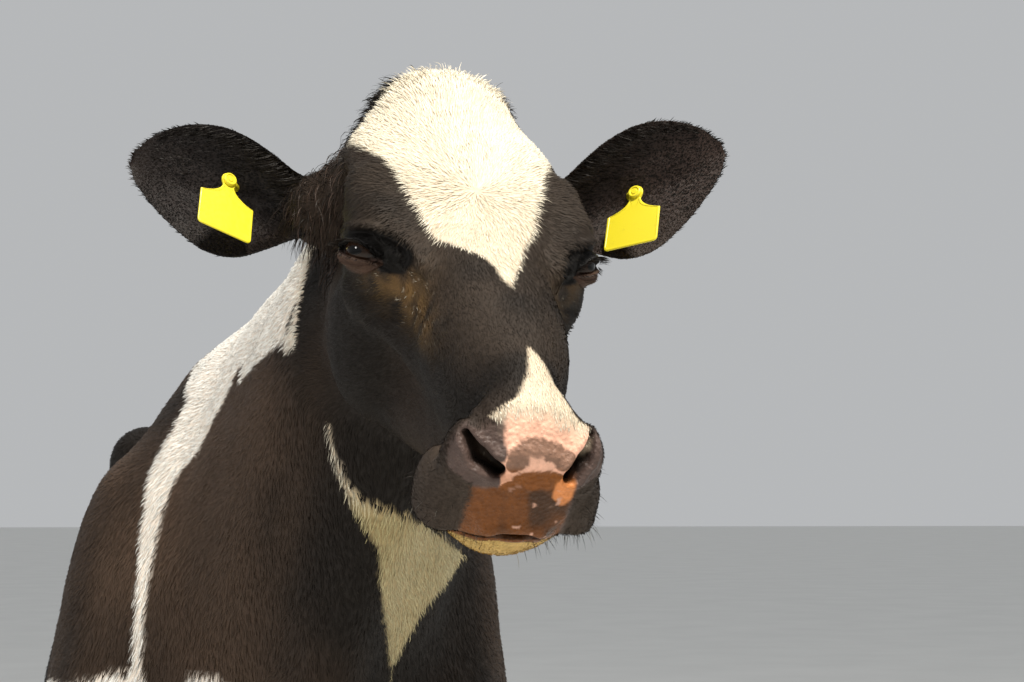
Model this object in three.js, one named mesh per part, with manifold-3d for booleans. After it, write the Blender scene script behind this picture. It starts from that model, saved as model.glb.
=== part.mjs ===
// A life-size dairy cow, standing square with its head raised, wearing a yellow tag in each ear.
//
// Millimetres, +Z up. The cow faces -Y and its left side is +X. The hooves stand on z = 0 and the origin is
// under the middle of its bounding box. The flesh is one smooth field built from sections, bones and muscles.
// Each part of the body is that field, meshed at a fineness of its own and parted from its neighbours by
// thin cuts.
import * as THREE from "three";
import { mergeVertices } from "three/addons/utils/BufferGeometryUtils.js";
import Module from "manifold-3d";

const wasm = await Module();
wasm.setup();

// ---------- driving dimensions ----------
const WITHERS = 1450; // height of the back over the shoulders
const GAP = 0.3; // air between two touching parts
const POLL = { x: 160, y: -560, z: 1640 }; // where the top of the head is, from the withers
const HEAD_TURN = 7.3; // degrees to the cow's left
const HEAD_NOD = 32.5; // degrees the face slopes below level
const HEAD_TILT = 2.6; // degrees of roll towards the cow's left
const HEAD_LENGTH = 515; // poll to muzzle
const EYE = { along: 228, up: -49, r: 20, facing: [0.85, -0.42, 0.32] }; // in the head's own frame
const EAR_LENGTH = 178; // from the end of its stalk
const EAR_HALF_WIDTH = 57;
const FORE_FOOT = { x: 146, y: -72 }; // centre of the coronet
const HIND_FOOT = { x: 142, y: 1300 };
const HOOF_HEIGHT = 72;
const TAIL_ROOT = { y: 1478, z: 1356 };
const TAIL_CUT = TAIL_ROOT.y + 14; // the tail is parted from the trunk here
const TAIL_END = 655; // height where the switch begins
const SWITCH_END = 352;

// ---------- fields: each is a function of a point, negative inside, in millimetres ----------
const clamp = (v, a, b) => Math.min(Math.max(v, a), b);
const mix = (a, b, t) => a + (b - a) * t;
const smooth = (a, b, v) => {
  const t = clamp((v - a) / (b - a), 0, 1);
  return t * t * (3 - 2 * t);
};

// Smooth union and smooth cut, rounded over about k.
const join = (a, b, k) => {
  const h = Math.max(k - Math.abs(a - b), 0) / k;
  return Math.min(a, b) - h * h * k * 0.25;
};
const carve = (a, b, k) => -join(-a, b, k);

// Distance to an ellipsoid about c with radii r.
function blob(x, y, z, c, r) {
  const u = (x - c[0]) / r[0],
    v = (y - c[1]) / r[1],
    w = (z - c[2]) / r[2];
  const k0 = Math.hypot(u, v, w),
    k1 = Math.hypot(u / r[0], v / r[1], w / r[2]);
  return k1 < 1e-9 ? -Math.min(...r) : (k0 * (k0 - 1)) / k1;
}

// Distance to a tapering round bar from a to b. thin squeezes it across x.
function bar(x, y, z, a, b, ra, rb, thin = 1) {
  const dx = (b[0] - a[0]) / thin,
    dy = b[1] - a[1],
    dz = b[2] - a[2];
  const px = (x - a[0]) / thin,
    py = y - a[1],
    pz = z - a[2];
  const t = clamp((px * dx + py * dy + pz * dz) / (dx * dx + dy * dy + dz * dz), 0, 1);
  const away = Math.hypot(px - dx * t, py - dy * t, pz - dz * t) - mix(ra, rb, t);
  return (away * (1 + thin)) / 2;
}

// A body of sections: each row is [along, top, widest, bottom, half width, power above, power below].
function sections(rows) {
  const slopes = rows.map((row, i) =>
    row.map((v, j) => {
      if (i === 0 || i === rows.length - 1) return 0;
      const [p, n] = [rows[i - 1], rows[i + 1]];
      return (n[j] - p[j]) / (n[0] - p[0]);
    }),
  );
  return function (s, x, z) {
    const inside = clamp(s, rows[0][0], rows.at(-1)[0]);
    let i = 0;
    while (i < rows.length - 2 && inside > rows[i + 1][0]) i++;
    const [a, b] = [rows[i], rows[i + 1]];
    const h = b[0] - a[0],
      t = (inside - a[0]) / h;
    const [h00, h10, h01, h11] = [
      (1 + 2 * t) * (1 - t) ** 2,
      t * (1 - t) ** 2,
      t * t * (3 - 2 * t),
      t * t * (t - 1),
    ];
    const at = (j) => h00 * a[j] + h10 * h * slopes[i][j] + h01 * b[j] + h11 * h * slopes[i + 1][j];
    const dz = z - at(2),
      above = dz > 0;
    const tall = above ? at(1) - at(2) : at(2) - at(3),
      n = above ? at(5) : at(6);
    const r = (Math.abs(x / at(4)) ** n + Math.abs(dz / tall) ** n) ** (1 / n);
    const rho = Math.hypot(x, dz);
    const across = r < 1e-6 ? -Math.min(at(4), tall) : rho - rho / r;
    const beyond = Math.abs(s - inside);
    return beyond > 0 ? Math.hypot(Math.max(across, 0), beyond) : across;
  };
}

// ---------- trunk ----------
const TRUNK = sections([
  [-330, 960, 860, 790, 70, 2, 2],
  [-250, 1190, 900, 700, 150, 2, 2],
  [-140, 1396, 940, 645, 222, 1.9, 2],
  [-20, WITHERS + 10, 950, 630, 246, 1.8, 2.1],
  [120, WITHERS - 4, 930, 615, 264, 1.8, 2.2],
  [300, 1418, 900, 590, 304, 1.8, 2.3],
  [500, 1408, 880, 570, 336, 1.9, 2.3],
  [700, 1410, 870, 566, 352, 2, 2.3],
  [860, 1416, 880, 590, 342, 2.1, 2.2],
  [1000, 1410, 930, 650, 292, 2.2, 2.1],
  [1130, 1416, 1000, 720, 260, 2.3, 2],
  [1270, 1414, 1050, 790, 230, 2.2, 2],
  [1390, 1380, 1090, 860, 180, 2, 2],
  [1470, 1306, 1130, 950, 100, 2, 2],
]);

function trunk(side, y, z) {
  const x = Math.abs(side);
  let d = TRUNK(y, x, z);
  // shoulder blade, point of the shoulder, upper arm and elbow
  d = join(d, bar(x, y, z, [70, 24, 1392], [196, -176, 1000], 30, 40), 60);
  d = join(d, blob(x, y, z, [182, -40, 1120], [62, 125, 176]), 80);
  d = join(d, blob(x, y, z, [190, -196, 950], [56, 60, 72]), 70);
  d = join(d, blob(x, y, z, [190, -6, 950], [70, 140, 160]), 60);
  d = join(d, blob(x, y, z, [200, 48, 812], [42, 48, 50]), 45);
  // brisket
  d = join(d, blob(x, y, z, [0, -262, 748], [88, 100, 96]), 80);
  // chine, loin and the root of the tail
  d = join(d, bar(x, y, z, [0, 120, WITHERS - 34], [0, 1320, 1402], 26, 30), 40);
  d = join(d, bar(x, y, z, [0, 1290, 1388], [0, TAIL_ROOT.y + 24, TAIL_ROOT.z - 10], 50, 34), 50);
  // hooks, thurls and pins
  d = join(d, bar(x, y, z, [30, 930, 1380], [222, 1010, 1326], 26, 34), 80);
  d = join(d, blob(x, y, z, [226, 1012, 1316], [42, 66, 48]), 80);
  d = join(d, bar(x, y, z, [208, 1050, 1300], [122, 1420, 1256], 34, 34), 80);
  d = join(d, blob(x, y, z, [114, 1440, 1258], [38, 44, 44]), 60);
  d = join(d, blob(x, y, z, [208, 1225, 1166], [66, 80, 90]), 90);
  // hollow of the flank
  d = carve(d, blob(x, y, z, [340, 868, 1240], [84, 120, 92]), 90);
  // thigh and buttock
  d = join(d, blob(x, y, z, [168, 1180, 990], [104, 215, 262]), 90);
  d = join(d, blob(x, y, z, [126, 1358, 1020], [84, 106, 225]), 70);
  return d;
}

// ---------- legs: side is +1 for the cow's left ----------
function foreleg(side, y, z) {
  const x = Math.abs(side);
  let d = bar(x, y, z, [194, 18, 800], [152, -8, 480], 68, 42);
  d = join(d, blob(x, y, z, [184, -8, 700], [54, 68, 122]), 40);
  d = join(d, blob(x, y, z, [149, -16, 446], [45, 45, 64]), 36);
  d = join(d, bar(x, y, z, [148, -14, 400], [147, -12, 170], 34, 32, 0.84), 30);
  d = join(d, bar(x, y, z, [148, 14, 400], [147, 12, 170], 20, 19), 14);
  d = join(d, blob(x, y, z, [146, -10, 148], [36, 40, 40]), 24);
  d = join(d, bar(x, y, z, [146, -18, 140], [146, -58, 84], 33, 36), 22);
  return join(d, blob(x, y, z, [FORE_FOOT.x, FORE_FOOT.y, HOOF_HEIGHT], [50, 58, 26]), 22);
}

function hindleg(side, y, z) {
  const x = Math.abs(side);
  let d = bar(x, y, z, [186, 1130, 1000], [208, 990, 792], 116, 84);
  d = join(d, bar(x, y, z, [206, 1004, 780], [156, 1330, 570], 88, 46), 60);
  d = join(d, blob(x, y, z, [154, 1272, 760], [56, 128, 130]), 50);
  d = join(d, bar(x, y, z, [160, 1330, 880], [150, 1404, 610], 66, 26), 60);
  d = join(d, blob(x, y, z, [147, 1372, 520], [40, 56, 74]), 40);
  d = join(d, bar(x, y, z, [147, 1418, 596], [147, 1404, 520], 24, 28), 24);
  d = join(d, bar(x, y, z, [146, 1366, 470], [143, 1366, 180], 37, 34, 0.8), 34);
  d = join(d, bar(x, y, z, [146, 1396, 470], [143, 1394, 180], 21, 20), 14);
  d = join(d, blob(x, y, z, [142, 1370, 152], [38, 42, 42]), 26);
  d = join(d, bar(x, y, z, [142, 1362, 142], [142, 1315, 84], 34, 37), 22);
  return join(d, blob(x, y, z, [HIND_FOOT.x, HIND_FOOT.y, HOOF_HEIGHT], [50, 58, 26]), 22);
}

// ---------- neck: sections across a line from the chest to the back of the head ----------
const NECK_LOW = new THREE.Vector3(0, -60, 1130);
const NECK_HIGH = new THREE.Vector3(POLL.x - 12, POLL.y + 74, POLL.z - 108);
const neckAlong = NECK_HIGH.clone().sub(NECK_LOW);
const NECK_LENGTH = neckAlong.length();
neckAlong.normalize();
const neckAcross = new THREE.Vector3(1, 0, 0).addScaledVector(neckAlong, -neckAlong.x).normalize();
const neckUp = new THREE.Vector3().crossVectors(neckAlong, neckAcross).negate();
if (neckUp.z < 0) neckUp.negate();

const NECK = sections([
  [-160, 300, 0, -300, 200, 2, 2],
  [0, 296, 0, -318, 190, 2.2, 1.9],
  [150, 292, 0, -276, 166, 2.3, 1.8],
  [300, 238, 0, -228, 140, 2.3, 1.8],
  [440, 160, 0, -182, 118, 2.2, 1.9],
  [540, 118, 0, -152, 102, 2.1, 2],
  [NECK_LENGTH + 30, 92, 0, -130, 90, 2, 2],
]);

function neck(x, y, z) {
  const [px, py, pz] = [x - NECK_LOW.x, y - NECK_LOW.y, z - NECK_LOW.z];
  const s = px * neckAlong.x + py * neckAlong.y + pz * neckAlong.z;
  const a = px * neckAcross.x + py * neckAcross.y + pz * neckAcross.z;
  const u = px * neckUp.x + py * neckUp.y + pz * neckUp.z;
  let d = NECK(s, a, u);
  // dewlap, a thin fold from the throat to the brisket
  d = join(d, bar(x, y, z, [POLL.x * 0.72, -452, 1330], [16, -352, 930], 38, 46, 0.8), 60);
  return join(d, bar(x, y, z, [16, -352, 930], [0, -300, 760], 46, 54, 0.8), 60);
}

// ---------- head, in its own frame: x to the left, y back from the muzzle, z out of the forehead ----------
const radians = THREE.MathUtils.degToRad;
const headGroup = new THREE.Group();
headGroup.position.set(POLL.x, POLL.y, POLL.z);
headGroup.rotation.set(radians(HEAD_NOD), radians(HEAD_TILT), radians(HEAD_TURN), "ZXY");
headGroup.updateMatrix();
const intoHead = headGroup.matrix.clone().invert();

const SKULL = sections([
  [-30, -30, -80, -130, 54, 2, 2],
  [0, 6, -66, -150, 82, 2, 2],
  [48, 14, -56, -165, 98, 2.4, 2],
  [105, 10, -50, -170, 102, 2.7, 2],
  [176, 3, -52, -170, 103, 2.8, 2],
  [230, -5, -62, -165, 91, 2.6, 2],
  [288, -13, -75, -160, 75, 2.4, 2],
  [345, -19, -82, -152, 65, 2.3, 2],
  [400, -23, -86, -150, 60, 2.3, 2],
  [458, -29, -90, -146, 60, 2.4, 2.2],
  [494, -44, -95, -142, 57, 2.4, 2.2],
  [HEAD_LENGTH, -74, -100, -132, 38, 2.2, 2],
]);
const JAW = sections([
  [48, -120, -190, -240, 50, 2, 2],
  [105, -130, -200, -272, 70, 2, 2],
  [172, -130, -200, -268, 71, 2, 2],
  [248, -125, -190, -242, 60, 2, 2],
  [325, -120, -172, -212, 50, 2, 2],
  [400, -120, -162, -198, 46, 2, 2],
  [456, -120, -156, -188, 45, 2, 2],
  [484, -130, -152, -178, 36, 2, 2],
  [498, -136, -148, -162, 18, 2, 2],
]);

function head(side, back, z) {
  const x = Math.abs(side),
    y = -back;
  let d = join(SKULL(y, x, z), JAW(y, x, z), 40);
  // poll
  d = join(d, blob(x, y, z, [0, 6, -6], [62, 36, 34]), 34);
  // cheek, brow, socket rim and cheekbone
  d = join(d, blob(x, y, z, [66, 143, -158], [37, 88, 82]), 40);
  d = join(d, blob(x, y, z, [80, 206, -58], [27, 50, 38]), 28);
  d = join(d, bar(x, y, z, [88, 150, -26], [87, 205, -31], 16, 14), 22);
  d = join(d, bar(x, y, z, [87, 205, -31], [62, 290, -40], 14, 8), 18);
  d = join(d, bar(x, y, z, [89, 220, -100], [59, 330, -106], 16, 13), 30);
  // hollow of the temple
  d = carve(d, blob(x, y, z, [117, 108, -84], [26, 44, 34]), 40);
  // ear stalk
  d = join(d, bar(x, y, z, [78, 50, -88], [122, 42, -92], 40, 33), 26);
  // muzzle, upper lips and chin
  d = join(d, blob(x, y, z, [0, 478, -92], [62, 42, 56]), 30);
  d = join(d, blob(x, y, z, [39, 450, -124], [26, 52, 35]), 26);
  d = join(d, blob(x, y, z, [0, 462, -162], [38, 34, 24]), 20);
  return d;
}

const at = new THREE.Vector3();
function headInPlace(x, y, z) {
  at.set(x, y, z).applyMatrix4(intoHead);
  return head(at.x, at.y, at.z);
}

// The whole of the flesh.
function flesh(x, y, z) {
  let d = trunk(x, y, z);
  d = join(d, neck(x, y, z), 90);
  if (z < 1150) {
    d = join(d, foreleg(x, y, z), 46);
    d = join(d, hindleg(x, y, z), 60);
  }
  if (y < -250) d = join(d, headInPlace(x, y, z), 36);
  return d;
}

// ---------- meshing: one vertex in each cell that the surface passes through, pulled onto it ----------
// The lines of a grid along one axis, as a start and then pairs of where a stretch ends and its cell size.
function ruled(from, ...stretches) {
  const lines = [from];
  for (const [to, cell] of stretches) {
    const [start, count] = [lines.at(-1), Math.max(1, Math.round((to - lines.at(-1)) / cell))];
    for (let i = 1; i <= count; i++) lines.push(mix(start, to, i / count));
  }
  return lines;
}

const CORNERS = [0, 1, 2, 3, 4, 5, 6, 7].map((c) => [c & 1, (c >> 1) & 1, c >> 2]);
const CELL_EDGES = CORNERS.flatMap((corner, a) =>
  [0, 1, 2].filter((axis) => !corner[axis]).map((axis) => [a, a | (1 << axis)]),
);
const AROUND = [
  [0, 0],
  [1, 0],
  [1, 1],
  [0, 1],
];

// The closed surface of a field inside a grid.
function skin(field, xs, ys, zs) {
  const lines = [xs, ys, zs];
  const [nx, ny, nz] = lines.map((l) => l.length);
  const value = new Float32Array(nx * ny * nz);
  const id = (i, j, k) => (k * ny + j) * nx + i;
  const rim = (...cell) => cell.some((c, m) => c === 0 || c === lines[m].length - 1);
  for (let k = 0; k < nz; k++)
    for (let j = 0; j < ny; j++)
      for (let i = 0; i < nx; i++) {
        const v = field(xs[i], ys[j], zs[k]);
        value[id(i, j, k)] = rim(i, j, k) ? Math.max(v, 5) : v;
      }
  const points = [],
    pointOf = new Map();
  for (let k = 0; k < nz - 1; k++)
    for (let j = 0; j < ny - 1; j++)
      for (let i = 0; i < nx - 1; i++) {
        const v = CORNERS.map(([a, b, c]) => value[id(i + a, j + b, k + c)]);
        if (v.every((q) => q < 0) || v.every((q) => q >= 0)) continue;
        const crossings = CELL_EDGES.filter(([a, b]) => v[a] < 0 !== v[b] < 0).map(([a, b]) => {
          const t = v[a] / (v[a] - v[b]);
          return [0, 1, 2].map((m) => mix(CORNERS[a][m], CORNERS[b][m], t));
        });
        const cell = [i, j, k];
        const ends = cell.map((c, m) => [lines[m][c], lines[m][c + 1]]);
        const middle = ends.map(([a, b], m) =>
          mix(a, b, crossings.reduce((sum, q) => sum + q[m], 0) / crossings.length),
        );
        const onRim = cell.some((c, m) => c === 0 || c === lines[m].length - 2);
        pointOf.set(id(i, j, k), points.length / 3);
        points.push(...(onRim ? middle : ontoSurface(field, middle, ends)));
      }
  const faces = [];
  for (let k = 0; k < nz - 1; k++)
    for (let j = 0; j < ny - 1; j++)
      for (let i = 0; i < nx - 1; i++) {
        const start = [i, j, k],
          inside = value[id(i, j, k)] < 0;
        for (let axis = 0; axis < 3; axis++) {
          const [u, v] = [(axis + 1) % 3, (axis + 2) % 3];
          const next = start.map((c, m) => c + (m === axis));
          if (start[u] === 0 || start[v] === 0 || value[id(...next)] < 0 === inside) continue;
          const ring = AROUND.map(([a, b]) => {
            const cell = start.map((c, m) => c - (m === u ? a : m === v ? b : 0));
            return pointOf.get(id(...cell));
          });
          const [a, b, c, d] = inside ? ring : ring.reverse();
          faces.push(a, b, c, a, c, d);
        }
      }
  return geometryOf(points, faces);
}

// Pulls a point onto the surface along the field's slope, keeping it in its own cell.
function ontoSurface(field, p, ends) {
  const REACH = 0.5,
    EDGE = 0.02;
  let [x, y, z] = p;
  for (let turn = 0; turn < 3; turn++) {
    const d = field(x, y, z);
    const slope = [
      field(x + REACH, y, z) - field(x - REACH, y, z),
      field(x, y + REACH, z) - field(x, y - REACH, z),
      field(x, y, z + REACH) - field(x, y, z - REACH),
    ].map((v) => v / (2 * REACH));
    const steep = slope[0] ** 2 + slope[1] ** 2 + slope[2] ** 2;
    if (steep < 1e-4) break;
    [x, y, z] = [x, y, z].map((v, m) => v - (d * slope[m]) / steep);
  }
  return [x, y, z].map((v, m) => clamp(v, mix(...ends[m], EDGE), mix(...ends[m], 1 - EDGE)));
}

// ---------- geometry and solids ----------
const NEAR = 0.01; // points closer than this are one
const DRAWN_IN = 0.08;
function geometryOf(points, faces) {
  return new THREE.BufferGeometry()
    .setAttribute("position", new THREE.Float32BufferAttribute(points, 3))
    .setIndex(faces);
}

function solid(geometry) {
  const bare = geometry.clone();
  for (const name of Object.keys(bare.attributes)) if (name !== "position") bare.deleteAttribute(name);
  const merged = mergeVertices(bare, NEAR / 10);
  return new wasm.Manifold(
    new wasm.Mesh({
      numProp: 3,
      vertProperties: new Float32Array(merged.attributes.position.array),
      triVerts: new Uint32Array(merged.index.array),
    }),
  );
}

const largest = (made) => made.decompose().sort((a, b) => b.volume() - a.volume())[0];

function geometryFrom(made) {
  const mesh = made.getMesh();
  return geometryOf(Array.from(mesh.vertProperties), Array.from(mesh.triVerts));
}

// The same solid moved or turned. Its faces are turned over when the move mirrors it.
function moved(made, matrix) {
  const geometry = geometryFrom(made).applyMatrix4(matrix);
  if (matrix.determinant() < 0) geometry.index.array.reverse();
  return solid(geometry);
}
const mirrored = (made) => moved(made, new THREE.Matrix4().makeScale(-1, 1, 1));

// The same solid without the slivers that a cut leaves, whose corners lie on one another.
function tidied(made) {
  const merged = mergeVertices(geometryFrom(made), NEAR);
  const faces = new Map();
  for (let i = 0; i < merged.index.count; i += 3) {
    const corners = Array.from(merged.index.array.slice(i, i + 3));
    if (new Set(corners).size < 3) continue;
    const key = corners.slice().sort((a, b) => a - b).join();
    // Two faces over the same corners are back to back, and both go.
    if (!faces.delete(key)) faces.set(key, corners);
  }
  merged.setIndex([...faces.values()].flat());
  return solid(merged);
}

// Where a surface touches itself its points are drawn in a little, so that each edge has only two faces.
function parted(geometry) {
  geometry.computeVertexNormals();
  const { position, normal } = geometry.attributes;
  const where = (i) => [position.getX(i), position.getY(i), position.getZ(i)].map((v) => v.toFixed(2)).join();
  const count = new Map();
  for (let i = 0; i < position.count; i++) count.set(where(i), (count.get(where(i)) ?? 0) + 1);
  const touching = [...Array(position.count).keys()].filter((i) => count.get(where(i)) > 1);
  for (const i of touching) {
    const p = new THREE.Vector3().fromBufferAttribute(position, i);
    p.addScaledVector(new THREE.Vector3().fromBufferAttribute(normal, i), -DRAWN_IN);
    position.setXYZ(i, p.x, p.y, p.z);
  }
  geometry.deleteAttribute("normal");
  return geometry;
}

const group = new THREE.Group();
group.add(headGroup);
function place(name, made, material, parent = group) {
  const node = new THREE.Mesh(parted(geometryFrom(largest(tidied(made)))), material);
  node.name = name;
  parent.add(node);
  return node;
}

// Pushes a solid's surface out by a given distance, to cut a close seat for it in another.
function grown(made, by) {
  const merged = mergeVertices(geometryFrom(made), NEAR / 10);
  merged.computeVertexNormals();
  const [p, n] = [merged.attributes.position, merged.attributes.normal];
  for (let i = 0; i < p.count; i++)
    p.setXYZ(i, p.getX(i) + n.getX(i) * by, p.getY(i) + n.getY(i) * by, p.getZ(i) + n.getZ(i) * by);
  merged.deleteAttribute("normal");
  return solid(merged);
}
const clearOf = (made, carrier) => made.subtract(grown(carrier, GAP * 1.5));

// A closed skin over rings of points, each ring the same length, capped flat at both ends.
// Points past flip in a ring have their squares split the other way, so that two close faces are split alike.
function sweep(rings, flip = Infinity) {
  const n = rings[0].length,
    points = rings.flat(2),
    faces = [];
  for (let i = 0; i + 1 < rings.length; i++)
    for (let j = 0; j < n; j++) {
      const k = (j + 1) % n;
      const [a, b, c, d] = [i * n + j, i * n + k, (i + 1) * n + k, (i + 1) * n + j];
      if (j < flip) faces.push(a, b, c, a, c, d);
      else faces.push(a, b, d, b, c, d);
    }
  for (const [ring, last] of [
    [0, false],
    [rings.length - 1, true],
  ]) {
    const hub = points.length / 3;
    for (let m = 0; m < 3; m++) points.push(rings[ring].reduce((sum, q) => sum + q[m], 0) / n);
    for (let j = 0; j < n; j++) {
      const [a, b] = [ring * n + j, ring * n + ((j + 1) % n)];
      faces.push(...(last ? [a, b, hub] : [b, a, hub]));
    }
  }
  const made = solid(geometryOf(points, faces));
  return made.volume() < 0 ? solid(geometryOf(points, faces.reverse())) : made;
}

// An upright slab of an outline: flat "xz" outlines run along y, "yz" ones along x.
function slab(outline, plane, from, to) {
  const shape = new THREE.Shape(outline.map(([a, b]) => new THREE.Vector2(a, b)));
  const geometry = new THREE.ExtrudeGeometry(shape, { depth: to - from, bevelEnabled: false });
  geometry.translate(0, 0, from);
  const axes = {
    xz: new THREE.Matrix4().set(1, 0, 0, 0, 0, 0, 1, 0, 0, 1, 0, 0, 0, 0, 0, 1),
    yz: new THREE.Matrix4().set(0, 0, 1, 0, 1, 0, 0, 0, 0, 1, 0, 0, 0, 0, 0, 1),
  };
  return moved(solid(geometry), axes[plane]);
}

// ---------- where the body is parted ----------
const direction = (x, y, z) => new THREE.Vector3(x, y, z).normalize();
const NECK_CUT = { through: new THREE.Vector3(0, -110, 1400), normal: direction(0, -500, 210) };
// Keeps the part of a solid on one side of a cut: +1 ahead of it, -1 behind.
function cut(made, { through, normal }, side) {
  const n = normal.clone().multiplyScalar(side);
  return made.trimByPlane(n.toArray(), through.dot(n) + GAP / 2);
}
// The space of the head, an outline in the head's own frame: behind the poll, round the jaw and out past
// the muzzle.
const HEAD_OUTLINE = [
  [44, 90],
  [38, 0],
  [-62, -240],
  [-112, -300],
  [-700, -400],
  [-700, 90],
];
function spread(outline, by) {
  const corners = outline.map((corner) => new THREE.Vector2(...corner));
  const outward = THREE.ShapeUtils.isClockWise(corners) ? -by : by;
  const n = corners.length;
  return corners.map((corner, i) => {
    const into = corner.clone().sub(corners[(i + n - 1) % n]).normalize();
    const onward = corners[(i + 1) % n].clone().sub(corner).normalize();
    const reach = outward / (1 + into.dot(onward));
    return [corner.x + (into.y + onward.y) * reach, corner.y - (into.x + onward.x) * reach];
  });
}
const headSpace = (by) => slab(spread(HEAD_OUTLINE, by), "yz", -300, 300);

// The space that each leg takes below the trunk, for the left side, let out by a gap where the trunk is cut.
function forelegSpace(by) {
  const outline = [
    [12, -60],
    [12, 556],
    [60, 562],
    [350, 800],
    [480, 800],
    [480, -60],
  ];
  return slab(spread(outline, by), "xz", -232 - by, 122 + by);
}
function hindlegSpace(by) {
  const fromBehind = [
    [40, -60],
    [40, 600],
    [90, 650],
    [330, 800],
    [480, 800],
    [480, -60],
  ];
  const fromTheSide = [
    [1070, -60],
    [1070, 560],
    [900, 752],
    [1500, 900],
    [1600, 900],
    [1600, -60],
  ];
  return slab(spread(fromBehind, by), "xz", 860, 1620).intersect(slab(spread(fromTheSide, by), "yz", 0, 500));
}
const SIDES = { left: 1, right: -1 };
const onSide = (made, side) => (side > 0 ? made : mirrored(made));

// ---------- materials ----------
const finish = (color, roughness) => new THREE.MeshStandardMaterial({ color, roughness, metalness: 0 });
const BLACK_HIDE = finish(0x17130f, 0.5);
const WHITE_HIDE = finish(0xe9e0d0, 0.6);
const UDDER_SKIN = finish(0xd9a898, 0.6);
const HORN = finish(0x4a4038, 0.45);
const EYE_BROWN = finish(0x1a0e08, 0.08);
const TAG_YELLOW = finish(0xf2e60a, 0.35);
const LONG_HAIR = finish(0xece4d4, 0.7);

// ---------- small forms ----------
// A ball stretched to three radii, turned and moved.
function lump(centre, radii, turns = [0, 0, 0], detail = 1) {
  const geometry = new THREE.IcosahedronGeometry(1, detail);
  geometry.scale(...radii);
  const turn = new THREE.Euler(...turns.map(radians));
  geometry.applyMatrix4(new THREE.Matrix4().makeRotationFromEuler(turn));
  return solid(geometry.translate(...centre));
}

// A round bar between two points.
function rod(from, to, r, sides = 12, rEnd = r) {
  const [a, b] = [new THREE.Vector3(...from), new THREE.Vector3(...to)];
  const geometry = new THREE.CylinderGeometry(rEnd, r, a.distanceTo(b), sides);
  const way = b.clone().sub(a).normalize();
  geometry.applyQuaternion(new THREE.Quaternion().setFromUnitVectors(new THREE.Vector3(0, 1, 0), way));
  return solid(geometry.translate(...a.add(b).multiplyScalar(0.5).toArray()));
}

// ---------- head ----------
function inHead(x, y, z) {
  at.set(x, y, z).applyMatrix4(headGroup.matrix);
  return flesh(at.x, at.y, at.z);
}
const headMesh = () =>
  solid(
    skin(
      inHead,
      ruled(-162, [162, 21.5]),
      ruled(-532, [-440, 17.5], [-250, 38], [-130, 21], [70, 33]),
      ruled(-315, [-140, 29], [45, 19.5]),
    ),
  );

// Where the surface of the head lies, going out from a point in a direction, in the head's own frame.
function surfaceFrom(from, towards) {
  let [near, far] = [0, 200];
  for (let i = 0; i < 24; i++) {
    const mid = (near + far) / 2;
    if (head(...from.map((v, m) => v + towards[m] * mid)) < 0) near = mid;
    else far = mid;
  }
  return from.map((v, m) => v + towards[m] * near);
}

// The line of the mouth: a groove round the muzzle between the lips, rising to its corners.
function mouthLine() {
  const CORNER = { along: 384, up: -150 },
    FRONT = { along: 440, up: -142 },
    DEPTH = 9,
    HALF_OPEN = 3,
    STEPS = 16,
    FRONT_ARC = Math.PI / 3.2;
  const rings = [];
  for (let i = 0; i <= STEPS; i++) {
    const turn = Math.PI * (i / STEPS - 0.5);
    const t = smooth(FRONT_ARC, Math.PI / 2, Math.abs(turn));
    const centre = [0, -mix(FRONT.along, CORNER.along, t), mix(FRONT.up, CORNER.up, t)];
    const out = new THREE.Vector3(Math.sin(turn), -Math.cos(turn), 0).normalize();
    const edge = new THREE.Vector3(...surfaceFrom(centre, out.toArray()));
    const inner = edge.clone().addScaledVector(out, -DEPTH * mix(1, 0.5, t));
    const outer = edge.clone().addScaledVector(out, HALF_OPEN);
    rings.push([
      inner.toArray(),
      [outer.x, outer.y, outer.z + HALF_OPEN],
      [outer.x, outer.y, outer.z - HALF_OPEN],
    ]);
  }
  return sweep(rings);
}

// A nostril: a round pit with a slit that curls up and out of it.
function nostril(side) {
  const pit = lump([side * 37, -508, -88], [14, 26, 10], [0, side * 30, 0]);
  const slit = lump([side * 50, -496, -76], [6, 22, 14], [0, side * 24, 0]);
  return pit.add(slit);
}

// The eyeballs sit just under the surface, each facing out, forward and up. This is the left one's own frame:
// x along the opening towards the muzzle, y up across it, z out of it.
const EYE_FRAME = new THREE.Matrix4();
{
  const out = direction(...EYE.facing);
  const high = direction(0, -0.22, 1).cross(out).normalize().cross(out).negate().normalize();
  const long = new THREE.Vector3().crossVectors(high, out);
  const centre = new THREE.Vector3(...surfaceFrom([0, -EYE.along, EYE.up], [1, 0, 0]));
  EYE_FRAME.makeBasis(long, high, out).setPosition(centre.addScaledVector(out, 1.5 - EYE.r));
}
function eyeCentre(side) {
  const [x, y, z] = new THREE.Vector3().setFromMatrixPosition(EYE_FRAME).toArray();
  return [x * side, y, z];
}
const LIDS = { ring: 18, round: 6, long: 1.25, high: 0.78 };
function lids() {
  const torus = new THREE.TorusGeometry(LIDS.ring, LIDS.round, 5, 14).scale(LIDS.long, LIDS.high, 1);
  return solid(torus.translate(0, 0, EYE.r - 3).applyMatrix4(EYE_FRAME));
}
// The opening between the lids, in front of the eyeball.
function betweenLids() {
  const inner = LIDS.ring - LIDS.round;
  return moved(lump([0, 0, EYE.r + 3], [inner * LIDS.long * 1.15, inner * LIDS.high * 1.1, 12]), EYE_FRAME);
}

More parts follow.
